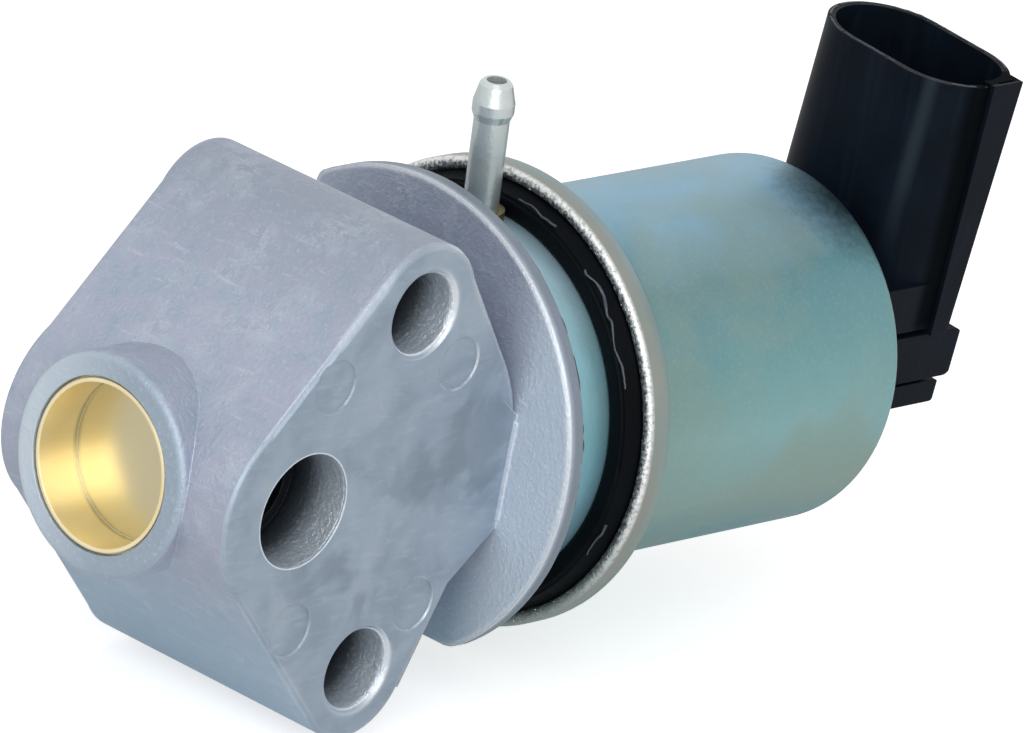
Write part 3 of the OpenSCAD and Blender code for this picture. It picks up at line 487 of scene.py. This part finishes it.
# %% The can's sheared edge with its painted highlight, and its shader
at_front = add(tree, "MapRange", {
    "Value": at["X"], "From Min": (LIP_X + LIP_ROUND) * MM, "From Max": (LIP_X + 0.35) * MM})
outside = add(tree, "MapRange", {
    "Value": from_axis, "From Min": (LIP_R - 1.6) * MM, "From Max": (LIP_R - 1.3) * MM})
sheared = add(tree, "Math", {0: at_front, 1: outside}, operation="MULTIPLY")
shear_grain = add(tree, "TexNoise", {
    "Vector": place, "Scale": per_grain(0.45), "Detail": 3.0, "Roughness": 0.7})
torn = add(tree, "ValToRGB", {"Fac": shear_grain}, stops=[
    (0.38, "#3c4144"), (0.52, "#7b8082"), (0.64, "#c9cccd")])
highlit_cut = add(tree, "ValToRGB", {"Fac": shear_grain}, stops=[(0.34, "#b2b5b4"), (0.54, "#ecedec")])
# the outer half of the rounding is painted near white, a painted highlight on the clean cut, and
# the inner half tore into grains that lie in painted shade
border = add(tree, "Math", {0: shear_grain, 1: 0.9 * MM, 2: from_axis}, operation="MULTIPLY_ADD")
cut_clean = add(tree, "MapRange", {
    "Value": border, "From Min": (LIP_R - 0.30) * MM, "From Max": (LIP_R + 0.15) * MM})
bare_and_highlit = add(tree, "Mix", {0: cut_clean, 6: torn, 7: highlit_cut}, **COLOUR)
# towards the bottom the painted highlight on the bare edge fades to grey-green
highlight_fade = add(tree, "MapRange", {
    "Value": at["Z"], "From Min": -3 * MM, "From Max": -17 * MM, "To Max": 0.85})
bare_and_highlit = add(tree, "Mix", {0: highlight_fade, 6: bare_and_highlit, 7: "#8b9691"}, **COLOUR)
tint = add(tree, "Mix", {0: sheared, 6: tint, 7: bare_and_highlit}, **COLOUR)
gloss = add(tree, "MapRange", {"Value": slow, "To Min": 0.34, "To Max": 0.48})
gloss = add(tree, "Mix", {0: sheared, 2: gloss, 3: 0.30})
rough_edge = add(tree, "Math", {0: shear_grain, 1: sheared}, operation="MULTIPLY")
normal = add(tree, "Bump", {"Height": rough_edge, "Distance": 0.12 * MM})
normal = add(tree, "Bump", {"Height": fine_grain, "Distance": 0.03 * MM, "Normal": normal})
shader = add(tree, "BsdfPrincipled", {
    "Base Color": tint, "Metallic": 0.6, "Roughness": gloss, "Normal": normal})
add(tree, "OutputMaterial", {"Surface": shader})
dress(can, "solenoid_can")

# %% [markdown]
# The base is a paler blue than the can, and the vent pipe is plain zinc with a thin film, so
# both use the same start with other tints.

# %% Base and vent pipe
BASE_R, PIPE_TOP_Z = 20.8, 36.0
for name, node, height_stops_with_light, cloud_tint, half_height, roughness in (
        ("passivated_zinc_base", "base_plate",
         [(0.05, "#9cc4d6"), (0.40, "#92cadb"), (0.58, "#8ac6d1"), (0.80, "#9acddb"),
          (0.97, "#b6d6e5")], "#9bbdc0", BASE_R, 0.42),
        # the pipe's tints turn paler towards its top, a painted highlight on its head
        ("zinc_plate_pipe", "vent_pipe",
         [(0.80, "#9ba5a6"), (0.89, "#acb6b7"), (0.98, "#d3dcdd")], "#aeb0a6", PIPE_TOP_Z, 0.27)):
    finish, tree, place, tint, slow = passivated_zinc(name, height_stops_with_light, cloud_tint, half_height)
    gloss = add(tree, "MapRange", {
        "Value": slow, "To Min": 0.85 * roughness, "To Max": 1.2 * roughness})
    pitting = add(tree, "TexNoise", {
        "Vector": place, "Scale": per_grain(0.8), "Detail": 3.0, "Roughness": 0.7})
    normal = add(tree, "Bump", {"Height": pitting, "Distance": 0.05 * MM})
    shader = add(tree, "BsdfPrincipled", {
        "Base Color": tint, "Metallic": 0.6, "Roughness": gloss, "Normal": normal})
    add(tree, "OutputMaterial", {"Surface": shader})
    dress(finish, node)

# %% [markdown]
# ## Rubber, plastics and ceramic
# The ring, seals and gasket are moulded rubber, near black, with a soft gloss. The bobbin and
# wiper carrier are natural nylon, and the sensor's track board is ceramic. All are moulded or
# fired non-metals, so one function makes them from tints, gloss and grain.

# %% Moulded finishes
def moulded(name, dark, light, roughness, grain_mm, depth_mm, shine=0.5, edge_mm=0.2):
    """A non-metal with a cloudy tint, a fine grain and slightly rounded edges."""
    material, tree, place = begin(name)
    cloud = add(tree, "TexNoise", {"Vector": place, "Scale": per_grain(8), "Detail": 3.0})
    tint = add(tree, "ValToRGB", {"Fac": cloud}, stops=[(0.3, dark), (0.7, light)])
    gloss = add(tree, "MapRange", {
        "Value": cloud, "To Min": 0.85 * roughness, "To Max": 1.2 * roughness})
    rounded = add(tree, "Bevel", {"Radius": edge_mm * MM}, samples=4)
    grain = add(tree, "TexNoise", {
        "Vector": place, "Scale": per_grain(grain_mm), "Detail": 3.0, "Roughness": 0.6})
    normal = add(tree, "Bump", {"Height": grain, "Distance": depth_mm * MM, "Normal": rounded})
    shader = add(tree, "BsdfPrincipled", {
        "Base Color": tint, "Roughness": gloss, "Specular IOR Level": shine, "Normal": normal})
    add(tree, "OutputMaterial", {"Surface": shader})
    return material


rubber = moulded("moulded_rubber", "#06090c", "#0a0e12", 0.40, 1.6, 0.10, 0.05)
dress(rubber, "rubber_ring", "stem_seal", "cover_seal", "base_gasket")
dress(moulded("natural_nylon", "#c2bba6", "#d3cdb9", 0.45, 0.6, 0.01), "bobbin", "wiper_carrier")
dress(moulded("ceramic_board", "#dcdedb", "#e6e7e4", 0.35, 0.5, 0.004), "sensor_board")

# %% [markdown]
# The end cover is glass-filled nylon: black, slightly blue in the light, with a fine grain from
# its mould. The plug socket on it shows faint streaks where the mould was drawn off. A pale strip
# is painted down the corner as a painted highlight, and a dark band along the rail is painted
# shade, where a channel stands. The cover is turned five degrees about the axis, and so are these
# marks.

# %% Glass-filled nylon
COVER_TURN = math.radians(5.0)
nylon, tree, place = begin("glass_filled_nylon")
at = add(tree, "SeparateXYZ", {0: place}).node.outputs
cloud = add(tree, "TexNoise", {"Vector": place, "Scale": per_grain(8), "Detail": 3.0})
tint = add(tree, "ValToRGB", {"Fac": cloud}, stops=[(0.3, "#0a1018"), (0.7, "#101822")])
# the draw streaks run along Z, so this noise is stretched ten times that way
drawn = add(tree, "Mapping", {"Vector": place, "Scale": (1.0, 1.0, 0.1)})
streak = add(tree, "TexNoise", {"Vector": drawn, "Scale": per_grain(1.5), "Detail": 3.0})
streaks = add(tree, "MapRange", {
    "Value": streak, "From Min": 0.52, "From Max": 0.72, "To Max": 0.35})
tint = add(tree, "Mix", {0: streaks, 6: tint, 7: "#1c242e"}, **COLOUR)
print("nylon with its streaks:", len(tree.nodes))

# %% The painted highlight strip and the painted shade by the rail
# a place's distance behind the solenoid's axis in the cover's own frame; the front is negative
sideways = add(tree, "VectorMath", {
    0: place, 1: (0.0, math.cos(COVER_TURN), math.sin(COVER_TURN))}, out="Value",
    operation="DOT_PRODUCT")
sideways = add(tree, "Math", {
    0: sideways, 1: AXIS_Y * math.cos(COVER_TURN) * MM}, operation="SUBTRACT")
# the pale strip is a painted highlight down the corner of the socket's round end
off_strip = add(tree, "Math", {0: sideways, 1: 7.6 * MM}, operation="ADD")
off_strip = add(tree, "Math", {0: off_strip}, operation="ABSOLUTE")
highlight_strip = add(tree, "MapRange", {
    "Value": off_strip, "From Min": 1.1 * MM, "From Max": 0.1 * MM},
    interpolation_type="SMOOTHSTEP")
strip_side = add(tree, "MapRange", {"Value": at["X"], "From Min": 90 * MM, "From Max": 89 * MM})
strip_rise = add(tree, "MapRange", {
    "Value": at["Z"], "From Min": 11 * MM, "From Max": 22 * MM, "To Max": 0.8})
for part in (strip_side, strip_rise):
    highlight_strip = add(tree, "Math", {0: highlight_strip, 1: part}, operation="MULTIPLY")
tint = add(tree, "Mix", {0: highlight_strip, 6: tint, 7: "#283238"}, **COLOUR)
# the rail leans a little, so the painted shade beside it follows X plus a share of Z
along_rail = add(tree, "VectorMath", {0: place, 1: (1.0, 0.0, 0.043)}, out="Value",
                 operation="DOT_PRODUCT")
rail_shade = add(tree, "MapRange", {
    "Value": along_rail, "From Min": 90.8 * MM, "From Max": 92.4 * MM, "To Max": 0.85},
    interpolation_type="SMOOTHSTEP")
on_front = add(tree, "MapRange", {"Value": sideways, "From Min": -8 * MM, "From Max": -9 * MM})
off_rail = add(tree, "MapRange", {
    "Value": sideways, "From Min": -11.7 * MM, "From Max": -11.4 * MM})
# below the step the cover is a plain block
above_step = add(tree, "MapRange", {"Value": at["Z"], "From Min": 2 * MM, "From Max": 4 * MM})
for part in (on_front, off_rail, above_step):
    rail_shade = add(tree, "Math", {0: rail_shade, 1: part}, operation="MULTIPLY")
# the band is painted near black, a painted shade where the channel beside the rail is not modelled
tint = add(tree, "Mix", {0: rail_shade, 6: tint, 7: "#020406"}, **COLOUR)
print("with strip and hollow:", len(tree.nodes))

# %% The nylon's gloss, grain and shader
gloss = add(tree, "MapRange", {"Value": rail_shade, "To Min": 0.42, "To Max": 0.9})
rounded = add(tree, "Bevel", {"Radius": 0.12 * MM}, samples=4)
grain = add(tree, "TexNoise", {
    "Vector": place, "Scale": per_grain(0.6), "Detail": 3.0, "Roughness": 0.6})
normal = add(tree, "Bump", {"Height": grain, "Distance": 0.02 * MM, "Normal": rounded})
shader = add(tree, "BsdfPrincipled", {
    "Base Color": tint, "Roughness": gloss, "Specular IOR Level": 0.05, "Normal": normal})
add(tree, "OutputMaterial", {"Surface": shader})
dress(nylon, "socket_housing", "cover_lid")

# %% [markdown]
# ## Flash and dried sealant, made with Geometry Nodes
# Where two halves of a mould meet, a thin ragged thread of material is left: one runs round
# the rubber ring's face and one round the rim of the plug socket. Behind the casting's disc,
# sealant has dried in short dashes. All three are one thing, a bead of uneven thickness with
# gaps, along a path. So one Geometry Nodes tree makes them: it drops edges of the path by a
# noise, turns the rest into curves, shakes them a little, and sweeps a small ring along.

# %% The bead tree
def open_tree(name, result, inputs):
    """A Geometry Nodes tree with one output and named inputs: the tree and those inputs."""
    tree = bpy.data.node_groups.new(name, "GeometryNodeTree")
    for label, kind in inputs.items():
        tree.interface.new_socket(label, in_out="INPUT", socket_type="NodeSocket" + kind)
    tree.interface.new_socket(result, in_out="OUTPUT", socket_type="NodeSocketGeometry")
    return tree, add(tree, "NodeGroupInput").node.outputs


def ragged_bead_tree():
    """A Geometry Nodes tree that turns a path of edges into a ragged bead."""
    tree, given = open_tree("ragged_bead", "Bead", {
        "Path": "Geometry", "Bead radius": "Float", "Shake": "Float", "Grain": "Float",
        "Gaps": "Float", "Seed": "Int", "Finish": "Material"})
    scale = add(tree, "Math", {0: 1.0, 1: given["Grain"]}, operation="DIVIDE")
    luck = add(tree, "TexNoise", {
        "W": given["Seed"], "Scale": scale, "Detail": 2.0}, noise_dimensions="4D")
    gone = add(tree, "FunctionNodeCompare", {0: luck, 1: given["Gaps"]}, operation="LESS_THAN")
    kept = add(tree, "GeometryNodeDeleteGeometry", {
        "Geometry": given["Path"], "Selection": gone}, domain="EDGE")
    line = add(tree, "GeometryNodeMeshToCurve", {"Mesh": kept})
    jolt = add(tree, "TexNoise", {
        "W": given["Seed"], "Scale": scale, "Detail": 3.0}, out=1, noise_dimensions="4D")
    jolt = add(tree, "VectorMath", {0: jolt, 1: (-0.5, -0.5, -0.5)}, operation="ADD")
    jolt = add(tree, "VectorMath", {0: jolt, "Scale": given["Shake"]}, operation="SCALE")
    line = add(tree, "GeometryNodeSetPosition", {"Geometry": line, "Offset": jolt})
    swell = add(tree, "MapRange", {
        "Value": luck, "From Min": 0.35, "From Max": 0.65, "To Min": 0.45, "To Max": 1.2})
    swell = add(tree, "Math", {0: swell, 1: given["Bead radius"]}, operation="MULTIPLY")
    section = add(tree, "GeometryNodeCurvePrimitiveCircle", {"Resolution": 6, "Radius": 1.0})
    bead = add(tree, "GeometryNodeCurveToMesh", {
        "Curve": line, "Profile Curve": section, "Scale": swell, "Fill Caps": True})
    bead = add(tree, "GeometryNodeRealizeInstances", {"Geometry": bead})
    bead = add(tree, "GeometryNodeSetMaterial", {"Geometry": bead, "Material": given["Finish"]})
    add(tree, "NodeGroupOutput", {"Bead": bead})
    return tree


bead_tree = ragged_bead_tree()
print("bead tree nodes:", len(bead_tree.nodes))

# %% [markdown]
# The tree needs a path and its sizes. A modifier's input is set by the identifier of its
# socket, before Blender evaluates the object. The result is then copied out as a plain mesh,
# so that the piece is as solid as the others when it is posed or exported.

# %% Running a tree on a path
def run_tree(name, tree, points, sizes):
    """Builds a piece by running a tree on a ring of points in mm, open where one is missing."""
    mesh = bpy.data.meshes.new(name + "_path")
    # points that lie a millimetre or more apart aren't neighbours
    pairs = [(i, (i + 1) % len(points)) for i in range(len(points))]
    edges = [(i, k) for i, k in pairs if (Vector(points[i]) - Vector(points[k])).length < 1.0]
    mesh.from_pydata([Vector(p) * MM for p in points], edges, [])
    piece = bpy.data.objects.new(name, mesh)
    bpy.context.scene.collection.objects.link(piece)
    modifier = piece.modifiers.new("build", "NODES")
    modifier.node_group = tree
    for socket in tree.interface.items_tree:
        if socket.in_out == "INPUT" and socket.name in sizes:
            modifier[socket.identifier] = sizes[socket.name]
    ready = piece.evaluated_get(bpy.context.evaluated_depsgraph_get())
    built = bpy.data.meshes.new_from_object(ready)
    piece.modifiers.clear()
    piece.data = built
    print(name, "has", len(built.polygons), "faces")
    return piece


def circle_path(x, radius, count, arcs=((0, 360),)):
    """Points of a circle round the solenoid's axis, in mm, on the arcs given in degrees."""
    angles = [math.tau * i / count for i in range(count)]
    return [(x, AXIS_Y + radius * math.cos(a), radius * math.sin(a)) for a in angles
            if any(start <= math.degrees(a) <= end for start, end in arcs)]


# %% [markdown]
# The ring's flash is glossy rubber, painted grey as a painted highlight along its thin ridge, and
# the sealant's dashes sit on the back of the disc's rim. The socket's rim is an oblong with round
# ends, drawn here as the CAD drew it, in the cover's own frame and then turned with the cover by
# five degrees about the axis.

# %% Flash on the ring and dashes behind the disc
highlit_flash_rubber = moulded("rubber_flash_highlit", "#2f373f", "#4b555f", 0.25, 0.8, 0.05, 0.5, 0.05)
RING_FACE_X, PARTING_R = 30.62, 23.3
RING_ARCS = ((98, 110), (126, 158), (196, 206), (262, 276))
parting_line = circle_path(RING_FACE_X, PARTING_R, 720, RING_ARCS)
ring_flash = run_tree("ring_flash", bead_tree, parting_line, {
    "Bead radius": 0.18 * MM, "Shake": 2.6 * MM, "Grain": 5.0 * MM, "Gaps": 0.20, "Seed": 3,
    "Finish": highlit_flash_rubber})
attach(ring_flash, "valve_body")
sealant = moulded("dried_sealant", "#1a1e22", "#2a2f33", 0.45, 0.6, 0.05)
# the disc is cut flat below and at the rear gasket face, so the dashes stop there
SEALANT_R, FLAT_Z, FLAT_Y = 25.75, -21.2, 32.6
behind_disc = [point for point in circle_path(DISC_BACK_X + 0.1, SEALANT_R, 900)
               if point[2] > FLAT_Z and point[1] < FLAT_Y]
disc_sealant = run_tree("disc_sealant", bead_tree, behind_disc, {
    "Bead radius": 0.20 * MM, "Shake": 0.15 * MM, "Grain": 3.2 * MM, "Gaps": 0.53, "Seed": 8,
    "Finish": sealant})
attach(disc_sealant, "valve_body")

# %% Flash on the socket's rim
SHROUD_X, SHROUD_LONG, SHROUD_WIDE, RIM_Z = 93.55, 22.7, 14.9, 33.6


def rim_path(inset, count):
    """The rim's outline in mm: two half circles joined by straight sides."""
    radius, reach = SHROUD_WIDE / 2 - inset, (SHROUD_LONG - SHROUD_WIDE) / 2
    points = []
    for side in (1, -1):
        for i in range(count):
            angle = math.pi * i / (count - 1)
            points.append((SHROUD_X + side * radius * math.cos(angle),
                           side * (reach + radius * math.sin(angle)), RIM_Z))
    # straight sides are filled in, so that the gaps fall evenly
    filled = []
    for first, second in zip(points, points[1:] + points[:1]):
        steps = max(1, round((Vector(second) - Vector(first)).length / 0.2))
        filled += [tuple(Vector(first).lerp(Vector(second), k / steps)) for k in range(steps)]
    return [(x, AXIS_Y + y * math.cos(COVER_TURN) - z * math.sin(COVER_TURN),
             y * math.sin(COVER_TURN) + z * math.cos(COVER_TURN)) for x, y, z in filled]


thread_nylon = moulded("nylon_flash", "#20262d", "#3a434c", 0.35, 0.5, 0.03, 0.4, 0.05)
rim_flash = run_tree("rim_flash", bead_tree, rim_path(inset=0.32, count=60), {
    "Bead radius": 0.13 * MM, "Shake": 0.3 * MM, "Grain": 1.8 * MM, "Gaps": 0.49, "Seed": 5,
    "Finish": thread_nylon})
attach(rim_flash, "valve_body")

# %% [markdown]
# ## Burrs on the sheared lip
# The press that trimmed the can's lip tore its inner edge into small burrs. They repeat in
# the hundreds, so they are instances: points spread along a circle step out to the edge's
# rounding by a random angle, and each gets a small faceted grain with its own turn and size.
# A grain has twenty faces, which is enough for a glint.

# %% The burr tree
def burr_tree():
    """A Geometry Nodes tree that scatters faceted grains round an edge."""
    tree, given = open_tree("edge_burrs", "Burrs", {
        "Path": "Geometry", "Count": "Int", "Burr size": "Float", "Edge radius": "Float",
        "Seed": "Int", "Finish": "Material"})
    line = add(tree, "GeometryNodeMeshToCurve", {"Mesh": given["Path"]})
    dots = add(tree, "GeometryNodeCurveToPoints", {"Curve": line, "Count": given["Count"]},
               mode="COUNT")
    # the way out from the solenoid's axis at each dot
    out = add(tree, "GeometryNodeInputPosition")
    out = add(tree, "VectorMath", {0: out, 1: (0.0, AXIS_Y * MM, 0.0)}, operation="SUBTRACT")
    out = add(tree, "VectorMath", {0: out, 1: (0.0, 1.0, 1.0)}, operation="MULTIPLY")
    out = add(tree, "VectorMath", {0: out}, operation="NORMALIZE")
    # the angle runs from just outside the front of the rounding, 1.3, to its inner side, 2.6
    angle = add(tree, "FunctionNodeRandomValue", {
        2: 1.3, 3: 2.6, "Seed": given["Seed"]}, out=1, data_type="FLOAT")
    outwards = add(tree, "Math", {0: angle}, operation="COSINE")
    forwards = add(tree, "Math", {0: angle}, operation="SINE")
    forwards = add(tree, "Math", {0: forwards, 1: -1.0}, operation="MULTIPLY")
    forwards = add(tree, "CombineXYZ", {"X": forwards})
    step = add(tree, "VectorMath", {0: out, "Scale": outwards}, operation="SCALE")
    step = add(tree, "VectorMath", {0: step, 1: forwards}, operation="ADD")
    step = add(tree, "VectorMath", {0: step, "Scale": given["Edge radius"]}, operation="SCALE")
    dots = add(tree, "GeometryNodeSetPosition", {"Geometry": dots, "Offset": step})
    grain = add(tree, "GeometryNodeMeshIcoSphere", {"Radius": given["Burr size"]})
    turn = add(tree, "FunctionNodeRandomValue", {
        0: (0.0, 0.0, 0.0), 1: (6.28, 6.28, 6.28), "Seed": given["Seed"]},
        data_type="FLOAT_VECTOR")
    size = add(tree, "FunctionNodeRandomValue", {
        0: (0.4, 0.4, 0.2), 1: (1.2, 1.0, 0.6), "Seed": given["Seed"]}, data_type="FLOAT_VECTOR")
    burrs = add(tree, "GeometryNodeInstanceOnPoints", {
        "Points": dots, "Instance": grain, "Rotation": turn, "Scale": size})
    burrs = add(tree, "GeometryNodeRealizeInstances", {"Geometry": burrs})
    burrs = add(tree, "GeometryNodeSetMaterial", {"Geometry": burrs, "Material": given["Finish"]})
    add(tree, "NodeGroupOutput", {"Burrs": burrs})
    return tree


# %% Burrs in place
edge_path = circle_path(LIP_X + LIP_ROUND, LIP_R - LIP_ROUND, 360)
# the grains' centres lie just under the rounding's surface
lip_burrs = run_tree("lip_burrs", burr_tree(), edge_path, {
    "Count": 900, "Burr size": 0.13 * MM, "Edge radius": 0.7 * MM, "Seed": 11,
    "Finish": worked_metal("sheared_zinc", "#a9abaa", "#dfe1df", 0.25, 0.3)})
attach(lip_burrs, "valve_body")

# %% [markdown]
# ## Floor, light and camera
# The photo is a product shot on white. The floor is a pale plane under the valve that keeps
# its shadow, and the world is white to the camera and in reflections, and dimmer as light.
# One large softbox stands beside the camera and a little above it, because the photo's
# rounded edges glint back at the camera. It is bright in its middle, as a cloth with a bulb
# behind it is, so that a mirror shows no hard square. A long lens stands where a fit of the
# model to the photo puts it.

# %% Floor
low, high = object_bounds()
FLOOR_GAP, HALF_FLOOR = 1.5 * MM, 3.0
level = low[2] - FLOOR_GAP
corners = [(x * HALF_FLOOR, y * HALF_FLOOR, level)
           for x, y in ((-1, -1), (1, -1), (1, 1), (-1, 1))]
floor_mesh = bpy.data.meshes.new("studio_floor")
floor_mesh.from_pydata(corners, [], [(0, 1, 2, 3)])
floor = bpy.data.objects.new("studio_floor", floor_mesh)
bpy.context.scene.collection.objects.link(floor)

# the paper glows a little for the camera and in mirrors, which makes it white but lights nothing
paper, tree, place = begin("pale_paper")
path = add(tree, "LightPath").node.outputs
mirrored = add(tree, "Math", {
    0: path["Is Glossy Ray"], 1: path["Is Transmission Ray"]}, operation="ADD")
mirrored = add(tree, "Math", {0: mirrored, 1: 0.20}, operation="MULTIPLY")
seen = add(tree, "Math", {0: path["Is Camera Ray"], 1: 0.6, 2: mirrored}, operation="MULTIPLY_ADD")
glow = add(tree, "Emission", {"Strength": seen})
matt = add(tree, "BsdfDiffuse", {"Color": "#e6e6e6"})
both = add(tree, "AddShader", {0: matt, 1: glow})
add(tree, "OutputMaterial", {"Surface": both})
floor_mesh.materials.append(paper)
print("floor at", round(level / MM, 2), "mm")

# %% World
WORLD_LIGHT = 0.60
world = bpy.data.worlds.new("studio")
bpy.context.scene.world = world
world.use_nodes = True
tree = world.node_tree
tree.nodes.clear()
path = add(tree, "LightPath").node.outputs
direct = add(tree, "Math", {0: path["Is Camera Ray"], 1: path["Is Glossy Ray"]}, operation="ADD")
direct = add(tree, "Math", {
    0: direct, 1: path["Is Transmission Ray"]}, operation="ADD", use_clamp=True)
strength = add(tree, "MapRange", {"Value": direct, "To Min": WORLD_LIGHT, "To Max": 1.0})
sky = add(tree, "Background", {"Color": "#ffffff", "Strength": strength})
add(tree, "OutputWorld", {"Surface": sky})
print("world is white to the camera and in mirrors,", WORLD_LIGHT, "as light")

# %% Softbox
def towards(azimuth, elevation):
    """The direction from the valve to a lamp or camera at these angles in degrees."""
    turn, tilt = math.radians(azimuth), math.radians(elevation)
    return Vector((math.sin(turn) * math.cos(tilt), -math.cos(turn) * math.cos(tilt),
                   math.sin(tilt)))


LAMP_AZIMUTH, LAMP_ELEVATION, LAMP_DISTANCE = -47, 26, 0.9
VALVE_MIDDLE = Vector((38, 18, 2)) * MM
lamp = bpy.data.lights.new("key_by_the_camera", "AREA")
lamp.energy = 12.4
lamp.shape = "SQUARE"
lamp.size = 1.25
lamp.use_nodes = True
tree = lamp.node_tree
tree.nodes.clear()
# Parametric runs from 0 to 1 over the cloth, so its middle is at 0.5
across = add(tree, "NewGeometry", out="Parametric")
across = add(tree, "VectorMath", {0: across, 1: (0.5, 0.5, 0.0)}, out="Value",
             operation="DISTANCE")
bright = add(tree, "MapRange", {"Value": across, "From Min": 0.5, "From Max": 0.2},
             interpolation_type="SMOOTHSTEP")
glow = add(tree, "Emission", {"Strength": bright})
add(tree, "OutputLight", {"Surface": glow})
softbox = bpy.data.objects.new("key_by_the_camera", lamp)
bpy.context.scene.collection.objects.link(softbox)
away = towards(LAMP_AZIMUTH, LAMP_ELEVATION)
softbox.location = VALVE_MIDDLE + away * LAMP_DISTANCE
softbox.rotation_euler = away.to_track_quat("Z", "Y").to_euler()
print("softbox at", [round(v, 3) for v in softbox.location])

# %% Camera
VIEW_AZIMUTH, VIEW_ELEVATION, VIEW_ROLL = -51.13, 19.157, math.radians(11.014)
VIEW_DISTANCE = 1240.86 * MM
VIEW_TARGET = Vector((37.977, 17.950, 2.099)) * MM
camera_data = bpy.data.cameras.new("camera")
camera_data.lens = 406.4
camera_data.sensor_width = 36
camera_data.clip_start = 0.01
camera = bpy.data.objects.new("camera", camera_data)
bpy.context.scene.collection.objects.link(camera)
# a camera looks along its own -Z, with X to the right and Y up, here rolled about that line
back = towards(VIEW_AZIMUTH, VIEW_ELEVATION)
level_right = Vector((0, 0, 1)).cross(back).normalized()
level_up = back.cross(level_right)
right = level_right * math.cos(VIEW_ROLL) + level_up * math.sin(VIEW_ROLL)
up = level_up * math.cos(VIEW_ROLL) - level_right * math.sin(VIEW_ROLL)
camera.matrix_world = Matrix.Translation(VIEW_TARGET + back * VIEW_DISTANCE) @ Matrix(
    (right, up, back)).transposed().to_4x4()
bpy.context.scene.camera = camera
bpy.context.scene.view_settings.view_transform = "Standard"
print("camera at", [round(v, 3) for v in camera.location])
